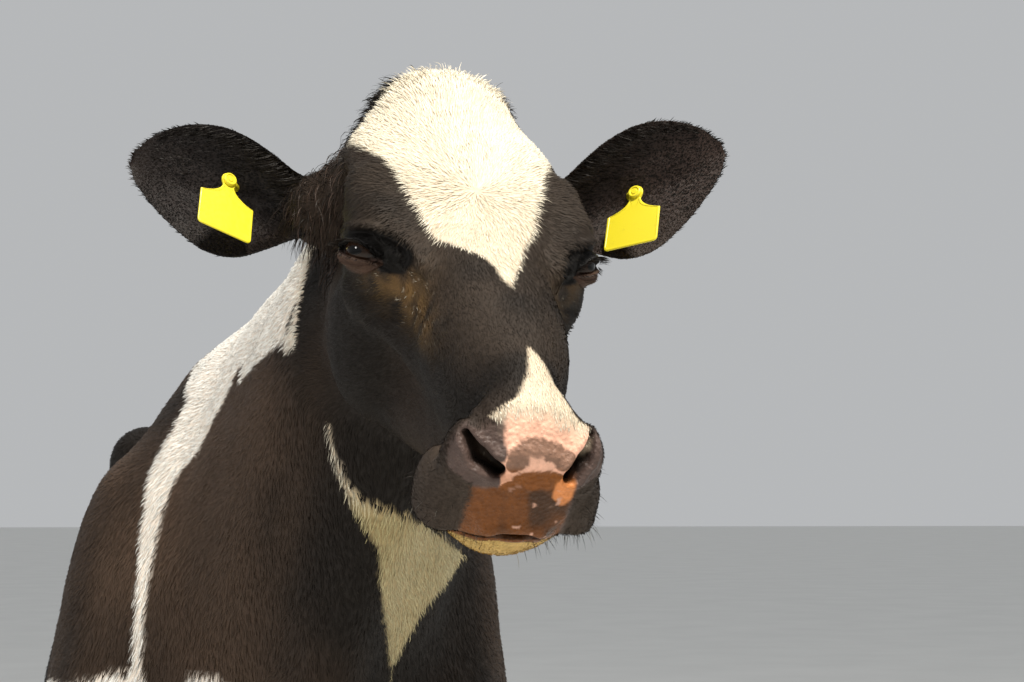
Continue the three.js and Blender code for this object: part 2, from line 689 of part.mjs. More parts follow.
const STALK_END = 130; // each ear stalk ends in a flat face, and the ear goes on from it
let headSolid = headMesh();
headSolid = headSolid.subtract(mouthLine());
for (const side of Object.values(SIDES)) {
  const socket = EYE.r + GAP * 1.5;
  headSolid = headSolid.add(onSide(lids(), side)).subtract(nostril(side));
  headSolid = headSolid.subtract(lump(eyeCentre(side), [socket, socket, socket], [0, 0, 0], 2));
  headSolid = headSolid.subtract(onSide(betweenLids(), side)).trimByPlane([-side, 0, 0], -STALK_END);
}
headSolid = headSolid.intersect(headSpace(0));

// ---------- ears: leaf-shaped cups that open forward, swept back and raised ----------
const SWEPT_BACK = { left: 11, right: 30 };
const RISE = { left: 19, right: -2 };
// How the ear changes from inside its stalk to its tip. Each row is [along, half width above, half width
// below, depth to the back, depth of the cup, how far forward the rim is].
const EAR = [
  [-24, 24, 24, 26, 0, 13],
  [0, 26, 28, 28, 6, 13],
  [18, 33, 38, 31, 22, 13],
  [45, 44, 50, 30, 23, 13],
  [75, 52, EAR_HALF_WIDTH, 26, 19, 12],
  [105, 54, EAR_HALF_WIDTH, 20, 14, 10],
  [130, 49, 51, 14.5, 9, 8],
  [152, 37, 39, 10.5, 5, 6],
  [168, 22, 24, 8, 3, 4],
  [EAR_LENGTH, 7, 8, 5.5, 1.5, 3],
];
const EAR_RIM = 3.5; // thickness at the rim
const ACROSS = [-1, -0.8, -0.45, 0, 0.45, 0.8, 1];

// The ear's own axes in the head's frame: towards its tip, forward out of its cup, and up across it.
function earAxes(name) {
  const [back, rise] = [SWEPT_BACK[name], RISE[name]].map(radians);
  const along = new THREE.Vector3(Math.cos(back), Math.sin(back), 0).multiplyScalar(Math.cos(rise));
  along.z = Math.sin(rise);
  const nod = radians(HEAD_NOD);
  const forward = new THREE.Vector3(0, -Math.cos(nod), Math.sin(nod));
  forward.addScaledVector(along, -forward.dot(along)).normalize();
  const up = new THREE.Vector3().crossVectors(forward, along);
  return { along, forward, up, root: EAR_ROOT[name] };
}
const EAR_ROOT = { left: -86, right: -102 }; // how far its middle is below the brow
function onEar(axes, [along, up, forward]) {
  const p = new THREE.Vector3(STALK_END - 2, -42, axes.root);
  p.addScaledVector(axes.along, along).addScaledVector(axes.up, up).addScaledVector(axes.forward, forward);
  return p.toArray();
}

function ear(name) {
  const axes = earAxes(name);
  const rings = EAR.map(([along, above, below, back, cup, rim]) => {
    const spot = (s, depth) => onEar(axes, [along, s * (s > 0 ? above : below), rim - depth]);
    const front = ACROSS.map((s) => spot(s, cup * (1 - s * s)));
    const behind = ACROSS.map((s) => spot(s, EAR_RIM + (back - EAR_RIM) * (1 - s * s) ** 0.8));
    return [...front, ...behind.reverse()];
  });
  return sweep(rings, ACROSS.length).trimByPlane([1, 0, 0], STALK_END + GAP);
}

// ---------- ear tags: a plate hung in front of the ear on a pin through it, with a button behind ----------
const TAG = { halfWidth: 25, shoulder: 23, bottom: 55, thick: 2, boss: 8, button: 13, pin: 4.5 };
const TAG_AT = { left: { along: 56, up: 6, turn: 14 }, right: { along: 74, up: 8, turn: 14 } };
const PLATE_AHEAD = 15; // the plate hangs just ahead of the rim of the ear

function tagPlate() {
  const { halfWidth: w, shoulder, bottom, boss } = TAG;
  const outline = new THREE.Shape();
  outline.moveTo(-boss * 0.8, -boss * 0.8);
  outline.quadraticCurveTo(-boss, -shoulder * 0.75, -w, -shoulder);
  outline.lineTo(-w, 3 - bottom);
  outline.quadraticCurveTo(-w, -bottom, 3 - w, -bottom);
  outline.lineTo(w - 3, -bottom);
  outline.quadraticCurveTo(w, -bottom, w, 3 - bottom);
  outline.lineTo(w, -shoulder);
  outline.quadraticCurveTo(boss, -shoulder * 0.75, boss * 0.8, -boss * 0.8);
  outline.absarc(0, 0, boss * 1.13, -Math.PI / 4, (Math.PI * 5) / 4, false);
  return new THREE.ExtrudeGeometry(outline, { depth: TAG.thick, bevelEnabled: false, curveSegments: 2 });
}

function earTag(name) {
  const axes = earAxes(name);
  const { along, up, turn } = TAG_AT[name];
  const spot = (forward) => onEar(axes, [along, up, forward]);
  const turned = new THREE.Matrix4().makeRotationZ(radians(turn));
  const frame = new THREE.Matrix4().makeBasis(axes.along, axes.up, axes.forward);
  const plate = solid(tagPlate().applyMatrix4(turned).applyMatrix4(frame).translate(...spot(PLATE_AHEAD)));
  return plate
    .add(rod(spot(PLATE_AHEAD + 0.5), spot(PLATE_AHEAD + 5), TAG.boss))
    .add(rod(spot(-24), spot(PLATE_AHEAD + 1), TAG.pin, 8))
    .add(rod(spot(-24), spot(-21), TAG.button));
}
const pinHole = (name) => {
  const axes = earAxes(name);
  const { along, up } = TAG_AT[name];
  return rod(onEar(axes, [along, up, -40]), onEar(axes, [along, up, 40]), TAG.pin + GAP * 1.4, 8);
};

for (const [name, side] of Object.entries(SIDES)) {
  place(`ear_${name}`, onSide(ear(name).subtract(pinHole(name)), side), BLACK_HIDE, headGroup);
  place(`ear_tag_${name}`, onSide(earTag(name), side), TAG_YELLOW, headGroup);
  const ball = lump([0, 0, 0], [EYE.r, EYE.r, EYE.r], [0, 0, 0], 2);
  const eye = place(`eye_${name}`, ball, EYE_BROWN, headGroup);
  eye.position.set(...eyeCentre(side));
}
place("head", headSolid, BLACK_HIDE, headGroup);

// ---------- long hair: flat tapering locks that bend, grown from a low core ----------
// A steady stream of numbers from 0 to 1.
function draws(seed) {
  let state = seed;
  return () => {
    state = (state * 1664525 + 1013904223) % 4294967296;
    return state / 4294967296;
  };
}

// One lock through a few points, widest across the given direction. Its first point is sunk in the core.
function lock(points, across, halfWidth, halfThick) {
  const curve = new THREE.CatmullRomCurve3(points.map((p) => new THREE.Vector3(...p)));
  const rings = [0, 0.22, 0.45, 0.68, 0.87, 1].map((t) => {
    const centre = curve.getPoint(t);
    const flat = curve.getTangent(t).cross(across).normalize();
    const wide = flat.clone().cross(curve.getTangent(t)).normalize();
    const full = Math.sin(Math.PI * mix(0.28, 1, t)) + 0.06;
    const [w, h] = [halfWidth * full, mix(halfThick, LOCK_TIP, t)];
    return [
      centre.clone().addScaledVector(wide, w).toArray(),
      centre.clone().addScaledVector(flat, h).toArray(),
      centre.clone().addScaledVector(wide, -w).toArray(),
      centre.clone().addScaledVector(flat, -h).toArray(),
    ];
  });
  return sweep(rings);
}
const LOCK_TIP = 0.6; // half thickness at the tip of a lock
const SEEDS = { topknot: 11, tailSwitch: 5 };

// The topknot covers the poll and falls forward over the forehead.
const TOPKNOT = { count: 8, wide: 14, thick: 4, reach: 74 };
function topknot() {
  let made = lump([0, -6, 0], [64, 42, 36], [0, 0, 0], 1);
  const draw = draws(SEEDS.topknot);
  for (let i = 0; i < TOPKNOT.count; i++) {
    const turn = mix(-1.25, 1.25, (i + 0.3 + 0.4 * draw()) / TOPKNOT.count);
    const [out, ahead] = [Math.sin(turn), Math.cos(turn)];
    const reach = TOPKNOT.reach * mix(0.85, 1.15, draw()) * mix(1, 0.8, Math.abs(out));
    const start = i % 2 ? 6 : 20;
    const lift = i % 2 ? 9 : 2;
    const at = (t, z) => [out * (20 + t * reach) + 14 * out * (1 - t), -start * 0.4 - ahead * t * reach, z];
    const droop = 18 * Math.abs(out);
    const points = [at(0.02, 14), at(0.38, 30 + lift), at(0.72, 27 + lift), at(1, 12 + lift - droop)];
    const across = new THREE.Vector3(ahead, out, 0);
    made = made.add(lock(points, across, TOPKNOT.wide * mix(0.8, 1.2, draw()), TOPKNOT.thick));
  }
  return made;
}
place("poll_tuft", clearOf(topknot().intersect(headSpace(0)), headSolid), LONG_HAIR, headGroup);

// ---------- neck and trunk ----------
const neckMesh = solid(skin(flesh, ruled(-330, [390, 47]), ruled(-820, [60, 48]), ruled(700, [1720, 52])));
place("neck", cut(neckMesh, NECK_CUT, 1).subtract(moved(headSpace(GAP), headGroup.matrix)), BLACK_HIDE);

// The tail is a tapering round length, whose root belongs to the trunk.
const TAIL = new THREE.CatmullRomCurve3(
  [
    [0, TAIL_ROOT.y - 80, TAIL_ROOT.z - 4],
    [0, TAIL_ROOT.y, TAIL_ROOT.z - 4],
    [0, TAIL_ROOT.y + 38, TAIL_ROOT.z - 24],
    [0, TAIL_ROOT.y + 64, TAIL_ROOT.z - 92],
    [-4, TAIL_ROOT.y + 66, 1120],
    [-10, TAIL_ROOT.y + 56, 900],
    [-16, TAIL_ROOT.y + 50, 720],
    [-18, TAIL_ROOT.y + 50, TAIL_END - 10],
  ].map((p) => new THREE.Vector3(...p)),
);
function roundAlong(curve, steps, sides, radius) {
  const frames = curve.computeFrenetFrames(steps, false);
  const rings = [];
  for (let i = 0; i <= steps; i++) {
    const centre = curve.getPointAt(i / steps);
    const r = radius(i / steps, centre);
    const ring = [];
    for (let j = 0; j < sides; j++) {
      const a = (2 * Math.PI * j) / sides;
      const p = centre.clone().addScaledVector(frames.normals[i], r * Math.cos(a));
      ring.push(p.addScaledVector(frames.binormals[i], r * Math.sin(a)).toArray());
    }
    rings.push(ring);
  }
  return sweep(rings);
}
const tail = roundAlong(TAIL, 16, 9, (t) => mix(40, 13, clamp(t * 2 - 0.16, 0, 1) ** 0.7));

// The udder is a bag between the thighs, seated in the trunk, with four teats.
function bag(x, y, z) {
  let d = blob(x, y, z, [0, 1085, 640], [158, 205, 128]);
  d = join(d, blob(x, y, z, [0, 1262, 740], [96, 92, 170]), 60);
  const furrow = blob(x, y, z, [0, 1090, 470], [10, 150, 70]);
  return carve(d, furrow, 40);
}
const TEATS = [
  [74, 1010, 486],
  [62, 1176, 494],
];
const bagSolid = solid(skin(bag, ruled(-190, [190, 46]), ruled(850, [1380, 55]), ruled(480, [930, 50])));
const udderSeat = grown(bagSolid, GAP * 1.5);
let udder = bagSolid;
for (const side of Object.values(SIDES))
  for (const [x, y, z] of TEATS) {
    const teat = rod([x * side, y, z + 50], [x * side, y, z - 28], 14, 8, 10);
    udder = udder.add(teat);
  }
place("udder", udder, UDDER_SKIN);

const torsoMesh = solid(
  skin(flesh, ruled(-420, [420, 66]), ruled(-440, [220, 60], [860, 130], [1560, 61]), ruled(500, [1520, 65])),
);
let torso = cut(torsoMesh, NECK_CUT, -1);
for (const side of Object.values(SIDES))
  for (const space of [forelegSpace(GAP), hindlegSpace(GAP)]) torso = torso.subtract(onSide(space, side));
torso = torso.add(tail).trimByPlane([0, -1, 0], -TAIL_CUT).subtract(udderSeat);
place("torso", torso, BLACK_HIDE);

// ---------- legs, each parted under the knee or hock ----------
const above = (made, z) => made.trimByPlane([0, 0, 1], z + GAP / 2);
const below = (made, z) => made.trimByPlane([0, 0, -1], -z + GAP / 2);
const UNDER_KNEE = 398;
const UNDER_HOCK = 466;
const fleshWithin = (xs, ys, zs) => solid(skin(flesh, xs, ys, zs));
const forearm = fleshWithin(ruled(0, [400, 30]), ruled(-280, [170, 31]), ruled(360, [900, 44]));
const foreShank = fleshWithin(ruled(80, [214, 18]), ruled(-150, [60, 20]), ruled(40, [180, 24], [440, 62]));
const gaskin = fleshWithin(ruled(30, [400, 38]), ruled(840, [1570, 43]), ruled(430, [960, 42]));
const hindShank = fleshWithin(ruled(80, [206, 19]), ruled(1224, [1450, 22]), ruled(40, [180, 24], [510, 62]));
const forelegUpper = largest(above(forearm.intersect(forelegSpace(0)), UNDER_KNEE));
const forelegLower = largest(above(below(foreShank, UNDER_KNEE), HOOF_HEIGHT));
const hindlegUpper = largest(above(gaskin.intersect(hindlegSpace(0)), UNDER_HOCK));
const hindlegLower = largest(above(below(hindShank, UNDER_HOCK), HOOF_HEIGHT));

// A claw of a cloven hoof: its plan as [out from the cleft, forward], flat on the ground and leaning back as
// it rises to the coronet.
const CLAW_PLAN = [
  [2.5, -46],
  [2.5, 30],
  [6, 58],
  [16, 70],
  [30, 62],
  [44, 38],
  [52, 8],
  [53, -22],
  [44, -48],
  [24, -58],
];
function claw(outward) {
  const rings = [0, 0.5, 1].map((rise) =>
    CLAW_PLAN.map(([out, forward]) => [
      outward * mix(out, out * 0.9 + 0.25, rise),
      -mix(forward, forward * 0.84 - 5, rise),
      rise * (HOOF_HEIGHT - GAP),
    ]),
  );
  return sweep(rings);
}
function dewclaw(foot, fetlockBack, outward, leg) {
  const root = [foot.x + outward * 20, fetlockBack - 14, 128],
    tip = [foot.x + outward * 24, fetlockBack + 12, 98];
  return clearOf(rod(root, tip, 15, 8, 7), leg);
}

const LEGS = {
  foreleg: { upper: forelegUpper, lower: forelegLower, foot: FORE_FOOT, fetlockBack: 30 },
  hindleg: { upper: hindlegUpper, lower: hindlegLower, foot: HIND_FOOT, fetlockBack: 1413 },
};
for (const [leg, { upper, lower, foot, fetlockBack }] of Object.entries(LEGS))
  for (const [name, side] of Object.entries(SIDES)) {
    place(`${leg}_${name}_upper`, onSide(upper, side).subtract(udderSeat), BLACK_HIDE);
    place(`${leg}_${name}_lower`, onSide(lower, side), WHITE_HIDE);
    for (const [where, outward] of [
      ["outer", 1],
      ["inner", -1],
    ]) {
      const hoof = place(`claw_${leg}_${name}_${where}`, claw(outward * side), HORN);
      hoof.position.set(foot.x * side, foot.y, 0);
      const spur = dewclaw(foot, fetlockBack, outward, lower);
      place(`dewclaw_${leg}_${name}_${where}`, onSide(spur, side), HORN);
    }
  }

// ---------- tail and its switch of long hair ----------
place("tail", above(tail.trimByPlane([0, 1, 0], TAIL_CUT + GAP), TAIL_END), BLACK_HIDE);

const SWITCH = new THREE.CatmullRomCurve3(
  [
    [-18, TAIL_ROOT.y + 50, TAIL_END + 10],
    [-20, TAIL_ROOT.y + 50, 520],
    [-22, TAIL_ROOT.y + 46, SWITCH_END],
  ].map((p) => new THREE.Vector3(...p)),
);
const SWITCH_LOCKS = { count: 12, wide: 15, thick: 3.5, spread: 40 };
function tailSwitch() {
  let made = roundAlong(SWITCH, 6, 8, (t) => mix(13, 27, Math.sin(Math.PI * t ** 0.7)) * (1 - t ** 4 * 0.7));
  const draw = draws(SEEDS.tailSwitch);
  for (let i = 0; i < SWITCH_LOCKS.count; i++) {
    const [tier, place] = [i % 2, (i + 0.5) / SWITCH_LOCKS.count];
    const turn = 2 * Math.PI * (place + (0.3 * draw()) / SWITCH_LOCKS.count);
    const out = new THREE.Vector3(Math.cos(turn), Math.sin(turn), 0);
    const from = TAIL_END - (tier ? 24 : 84);
    const to = SWITCH_END + (tier ? 60 : -50) + 40 * draw();
    const spread = SWITCH_LOCKS.spread * (tier ? 1 : 0.82);
    const points = [0, 0.3, 0.65, 1].map((t) => {
      const z = mix(from, to, t);
      const along = clamp((TAIL_END - z) / (TAIL_END - SWITCH_END), 0, 1);
      const bulge = mix(4, spread, Math.sin(Math.PI * mix(0.12, 0.84, t)) ** 0.8);
      const centre = SWITCH.getPoint(along);
      return [centre.x + out.x * bulge, centre.y + out.y * bulge, z];
    });
    const across = new THREE.Vector3(-out.y, out.x, 0);
    made = made.add(lock(points, across, SWITCH_LOCKS.wide * mix(0.8, 1.2, draw()), SWITCH_LOCKS.thick));
  }
  return made;
}
place("tail_switch", below(tailSwitch(), TAIL_END), LONG_HAIR);

// ---------- the origin goes under the middle of the whole ----------
const bounds = new THREE.Box3().setFromObject(group, true);
group.position.set(-(bounds.min.x + bounds.max.x) / 2, -(bounds.min.y + bounds.max.y) / 2, -bounds.min.z);

export default group;
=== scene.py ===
import math

import bmesh
import bpy
import numpy as np
from mathutils import Matrix, Vector


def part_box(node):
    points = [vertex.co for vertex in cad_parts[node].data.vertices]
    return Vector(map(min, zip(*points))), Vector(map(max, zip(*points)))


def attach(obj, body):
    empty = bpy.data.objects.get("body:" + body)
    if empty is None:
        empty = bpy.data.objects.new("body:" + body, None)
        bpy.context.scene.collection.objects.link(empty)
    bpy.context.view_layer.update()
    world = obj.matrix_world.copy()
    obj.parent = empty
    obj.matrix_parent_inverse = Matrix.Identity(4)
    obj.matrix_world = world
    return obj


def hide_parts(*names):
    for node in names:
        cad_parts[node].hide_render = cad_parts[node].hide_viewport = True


bl_info = {
    "name": "Dairy cow",
    "version": (1, 0, 0),
    "blender": (4, 5, 0),
    "location": "View3D > Sidebar > Cow",
    "description": "Builds the skin, coat, eyes, hooves, hair and ear tags of a life-size dairy cow",
    "category": "Add Mesh",
}

# The body is worked out in millimetres, +Z up, with the cow facing -Y, its left side +X and y = 0 at the
# withers. Points are arrays of rows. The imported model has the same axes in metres, with an origin of its own.
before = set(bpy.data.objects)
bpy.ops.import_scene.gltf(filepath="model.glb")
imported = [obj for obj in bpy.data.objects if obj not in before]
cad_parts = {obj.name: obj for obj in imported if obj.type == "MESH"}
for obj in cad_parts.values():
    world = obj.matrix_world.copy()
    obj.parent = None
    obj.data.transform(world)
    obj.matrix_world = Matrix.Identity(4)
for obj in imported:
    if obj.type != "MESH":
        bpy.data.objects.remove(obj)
CLAW_CORNER = np.array([148.5, -142.0, 0.0])
SHIFT = np.array(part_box("claw_foreleg_left_outer")[0]) * 1000 - CLAW_CORNER


def to_part(points):
    """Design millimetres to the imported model's metres."""
    return (np.asarray(points) + SHIFT) / 1000


# ---------- sizes ----------
WITHERS = 1450
POLL = np.array([160.0, -560.0, 1640.0])
HEAD_TURN, HEAD_NOD, HEAD_TILT = 7.3, 32.5, 2.6
FORE_FOOT, HIND_FOOT = (146, -72), (142, 1300)
HOOF_HEIGHT = 72
TAIL_ROOT_Y, TAIL_ROOT_Z = 1478, 1356
TAIL_END, SWITCH_END = 655, 352
EYE_RADIUS = 20
CELL = 10  # of the skin over the body
BODY_DEPTH, FACE_DEPTH = 3.0, 1.0  # how far the skin lies under the tips of the coat


# ---------- fields: negative inside, in millimetres ----------
def mix(a, b, t):
    return a + (b - a) * t


def smooth(a, b, v):
    t = np.clip((v - a) / (b - a), 0, 1)
    return t * t * (3 - 2 * t)


def join(a, b, k):
    """Smooth union, rounded over about k."""
    h = np.maximum(k - np.abs(a - b), 0) / k
    return np.minimum(a, b) - h * h * k * 0.25


def carve(a, b, k):
    return -join(-a, b, k)


def blob(x, y, z, c, r):
    """Distance to an ellipsoid about c with radii r."""
    u, v, w = (x - c[0]) / r[0], (y - c[1]) / r[1], (z - c[2]) / r[2]
    k0 = np.sqrt(u * u + v * v + w * w)
    k1 = np.sqrt((u / r[0]) ** 2 + (v / r[1]) ** 2 + (w / r[2]) ** 2)
    return k0 * (k0 - 1) / np.maximum(k1, 1e-9)


def bar(x, y, z, a, b, ra, rb, thin=1):
    """Distance to a tapering round bar from a to b. thin squeezes it across x."""
    dx, dy, dz = (b[0] - a[0]) / thin, b[1] - a[1], b[2] - a[2]
    px, py, pz = (x - a[0]) / thin, y - a[1], z - a[2]
    t = np.clip((px * dx + py * dy + pz * dz) / (dx * dx + dy * dy + dz * dz), 0, 1)
    away = np.sqrt((px - dx * t) ** 2 + (py - dy * t) ** 2 + (pz - dz * t) ** 2) - mix(ra, rb, t)
    return away * (1 + thin) / 2


def curve_through(places, rows, at):
    """Smooth values at places along rows of knots, level at both ends. Columns are separate curves."""
    slopes = np.zeros_like(rows)
    slopes[1:-1] = (rows[2:] - rows[:-2]) / (places[2:] - places[:-2])[:, None]
    i = np.clip(np.searchsorted(places, at, side="left") - 1, 0, len(places) - 2)
    h = (places[i + 1] - places[i])[:, None]
    t = (at - places[i])[:, None] / h
    return (
        (1 + 2 * t) * (1 - t) ** 2 * rows[i]
        + t * (1 - t) ** 2 * h * slopes[i]
        + t * t * (3 - 2 * t) * rows[i + 1]
        + t * t * (t - 1) * h * slopes[i + 1]
    )


class Sections:
    """A body of sections: rows of [along, top, widest, bottom, half width, power above, power below]."""

    def __init__(self, rows):
        rows = np.array(rows, float)
        self.places, self.rows = rows[:, 0], rows[:, 1:]

    def __call__(self, s, x, z):
        inside = np.clip(s, self.places[0], self.places[-1])
        top, middle, bottom, half, high, low = curve_through(self.places, self.rows, inside).T
        dz = z - middle
        tall = np.where(dz > 0, top - middle, middle - bottom)
        n = np.where(dz > 0, high, low)
        r = (np.abs(x / half) ** n + np.abs(dz / tall) ** n) ** (1 / n)
        rho = np.hypot(x, dz)
        across = np.where(r < 1e-6, -np.minimum(half, tall), rho - rho / np.maximum(r, 1e-6))
        beyond = np.abs(s - inside)
        return np.where(beyond > 0, np.hypot(np.maximum(across, 0), beyond), across)


TRUNK = Sections([
    [-330, 960, 860, 790, 70, 2, 2],
    [-250, 1190, 900, 700, 150, 2, 2],
    [-140, 1396, 940, 645, 222, 1.9, 2],
    [-20, WITHERS + 10, 950, 630, 246, 1.8, 2.1],
    [120, WITHERS - 4, 930, 615, 264, 1.8, 2.2],
    [300, 1418, 900, 590, 304, 1.8, 2.3],
    [500, 1408, 880, 570, 336, 1.9, 2.3],
    [700, 1410, 870, 566, 352, 2, 2.3],
    [860, 1416, 880, 590, 342, 2.1, 2.2],
    [1000, 1410, 930, 650, 292, 2.2, 2.1],
    [1130, 1416, 1000, 720, 260, 2.3, 2],
    [1270, 1414, 1050, 790, 230, 2.2, 2],
    [1390, 1380, 1090, 860, 180, 2, 2],
    [1470, 1306, 1130, 950, 100, 2, 2],
])


def trunk(side, y, z):
    x = np.abs(side)
    d = TRUNK(y, x, z)
    # shoulder blade, point of the shoulder, upper arm, elbow and brisket
    d = join(d, bar(x, y, z, [70, 24, 1392], [196, -176, 1000], 30, 40), 60)
    d = join(d, blob(x, y, z, [182, -40, 1120], [62, 125, 176]), 80)
    d = join(d, blob(x, y, z, [190, -196, 950], [56, 60, 72]), 70)
    d = join(d, blob(x, y, z, [190, -6, 950], [70, 140, 160]), 60)
    d = join(d, blob(x, y, z, [200, 48, 812], [42, 48, 50]), 45)
    d = join(d, blob(x, y, z, [0, -262, 748], [88, 100, 96]), 80)
    # chine, loin and the root of the tail
    d = join(d, bar(x, y, z, [0, 120, WITHERS - 34], [0, 1320, 1402], 26, 30), 40)
    d = join(d, bar(x, y, z, [0, 1290, 1388], [0, TAIL_ROOT_Y + 24, TAIL_ROOT_Z - 10], 50, 34), 50)
    # hooks, thurls and pins
    d = join(d, bar(x, y, z, [30, 930, 1380], [222, 1010, 1326], 26, 34), 80)
    d = join(d, blob(x, y, z, [226, 1012, 1316], [42, 66, 48]), 80)
    d = join(d, bar(x, y, z, [208, 1050, 1300], [122, 1420, 1256], 34, 34), 80)
    d = join(d, blob(x, y, z, [114, 1440, 1258], [38, 44, 44]), 60)
    d = join(d, blob(x, y, z, [208, 1225, 1166], [66, 80, 90]), 90)
    # hollow of the flank, thigh and buttock
    d = carve(d, blob(x, y, z, [340, 868, 1240], [84, 120, 92]), 90)
    d = join(d, blob(x, y, z, [168, 1180, 990], [104, 215, 262]), 90)
    return join(d, blob(x, y, z, [126, 1358, 1020], [84, 106, 225]), 70)


def foreleg(side, y, z):
    x = np.abs(side)
    d = bar(x, y, z, [194, 18, 800], [152, -8, 480], 68, 42)
    d = join(d, blob(x, y, z, [184, -8, 700], [54, 68, 122]), 40)
    d = join(d, blob(x, y, z, [149, -16, 446], [45, 45, 64]), 36)
    d = join(d, bar(x, y, z, [148, -14, 400], [147, -12, 170], 34, 32, 0.84), 30)
    d = join(d, bar(x, y, z, [148, 14, 400], [147, 12, 170], 20, 19), 14)
    d = join(d, blob(x, y, z, [146, -10, 148], [36, 40, 40]), 24)
    d = join(d, bar(x, y, z, [146, -18, 140], [146, -58, 84], 33, 36), 22)
    return join(d, blob(x, y, z, [*FORE_FOOT, HOOF_HEIGHT], [50, 58, 26]), 22)


def hindleg(side, y, z):
    x = np.abs(side)
    d = bar(x, y, z, [186, 1130, 1000], [208, 990, 792], 116, 84)
    d = join(d, bar(x, y, z, [206, 1004, 780], [156, 1330, 570], 88, 46), 60)
    d = join(d, blob(x, y, z, [154, 1272, 760], [56, 128, 130]), 50)
    d = join(d, bar(x, y, z, [160, 1330, 880], [150, 1404, 610], 66, 26), 60)
    d = join(d, blob(x, y, z, [147, 1372, 520], [40, 56, 74]), 40)
    d = join(d, bar(x, y, z, [147, 1418, 596], [147, 1404, 520], 24, 28), 24)
    d = join(d, bar(x, y, z, [146, 1366, 470], [143, 1366, 180], 37, 34, 0.8), 34)
    d = join(d, bar(x, y, z, [146, 1396, 470], [143, 1394, 180], 21, 20), 14)
    d = join(d, blob(x, y, z, [142, 1370, 152], [38, 42, 42]), 26)
    d = join(d, bar(x, y, z, [142, 1362, 142], [142, 1315, 84], 34, 37), 22)
    return join(d, blob(x, y, z, [*HIND_FOOT, HOOF_HEIGHT], [50, 58, 26]), 22)


def unit(v):
    return np.asarray(v, float) / np.linalg.norm(v)


NECK_LOW = np.array([0.0, -60.0, 1130.0])
NECK_HIGH = POLL + [-12, 74, -108]
NECK_LENGTH = np.linalg.norm(NECK_HIGH - NECK_LOW)
NECK_ALONG = unit(NECK_HIGH - NECK_LOW)
NECK_ACROSS = unit(np.array([1.0, 0, 0]) - NECK_ALONG * NECK_ALONG[0])
NECK_UP = np.cross(NECK_ALONG, NECK_ACROSS)
NECK_UP = NECK_UP * np.sign(NECK_UP[2])
NECK = Sections([
    [-160, 300, 0, -300, 200, 2, 2],
    [0, 296, 0, -318, 190, 2.2, 1.9],
    [150, 292, 0, -276, 166, 2.3, 1.8],
    [300, 249, 0, -228, 140, 2.3, 1.8],
    [440, 163, 0, -182, 118, 2.2, 1.9],
    [540, 101, 0, -152, 102, 2.1, 2],
    [NECK_LENGTH + 30, 76, 0, -130, 90, 2, 2],
])


def neck(x, y, z):
    p = np.stack([x, y, z], 1) - NECK_LOW
    d = NECK(p @ NECK_ALONG, p @ NECK_ACROSS, p @ NECK_UP)
    # dewlap, a thin fold from the throat to the brisket
    d = join(d, bar(x, y, z, [POLL[0] * 0.72, -452, 1330], [16, -352, 930], 38, 46, 0.8), 60)
    return join(d, bar(x, y, z, [16, -352, 930], [0, -300, 760], 46, 54, 0.8), 60)


# ---------- head, in its own frame: x to the left, y back from the muzzle, z out of the forehead ----------
def turned(degrees, axis):
    return np.array(Matrix.Rotation(math.radians(degrees), 3, axis))


HEAD_AXES = turned(HEAD_TURN, "Z") @ turned(HEAD_NOD, "X") @ turned(HEAD_TILT, "Y")
MUZZLE_SWING = 5  # how far the muzzle swings to the cow's right
HEAD_Y, FACE_Y = -470, -480  # the head and the face lie ahead of these, whatever else is near their frame


def into_head(points):
    h = (points - POLL) @ HEAD_AXES
    h[..., 0] += MUZZLE_SWING * smooth(380, 500, -h[..., 1])
    return h


def out_of_head(points):
    swing = MUZZLE_SWING * smooth(380, 500, -points[..., 1:2])
    return (points - swing * [1, 0, 0]) @ HEAD_AXES.T + POLL


SKULL = Sections([
    [-30, -30, -80, -130, 54, 2, 2],
    [0, 6, -66, -150, 82, 2, 2],
    [48, 14, -56, -165, 98, 2.4, 2],
    [105, 10, -50, -170, 102, 2.7, 2],
    [176, 3, -52, -170, 103, 2.8, 2],
    [230, -5, -62, -165, 88, 2.6, 2],
    [288, -13, -75, -160, 63, 2.4, 2],
    [345, -19, -82, -152, 62, 2.3, 2],
    [400, -23, -86, -152, 52, 2.3, 2],
    [458, -29, -92, -158, 36, 2.2, 2.2],
    [494, -44, -100, -164, 53, 2.3, 2.3],
    [515, -76, -110, -152, 40, 2.2, 2],
])
JAW = Sections([
    [48, -120, -190, -240, 50, 2, 2],
    [105, -130, -200, -272, 70, 2, 2],
    [172, -130, -200, -268, 71, 2, 2],
    [248, -125, -190, -242, 60, 2, 2],
    [325, -120, -172, -212, 44, 2, 2],
    [400, -120, -164, -200, 36, 2, 2],
    [456, -120, -162, -193, 38, 2, 2],
    [484, -136, -160, -184, 34, 2, 2],
    [498, -146, -158, -170, 18, 2, 2],
])


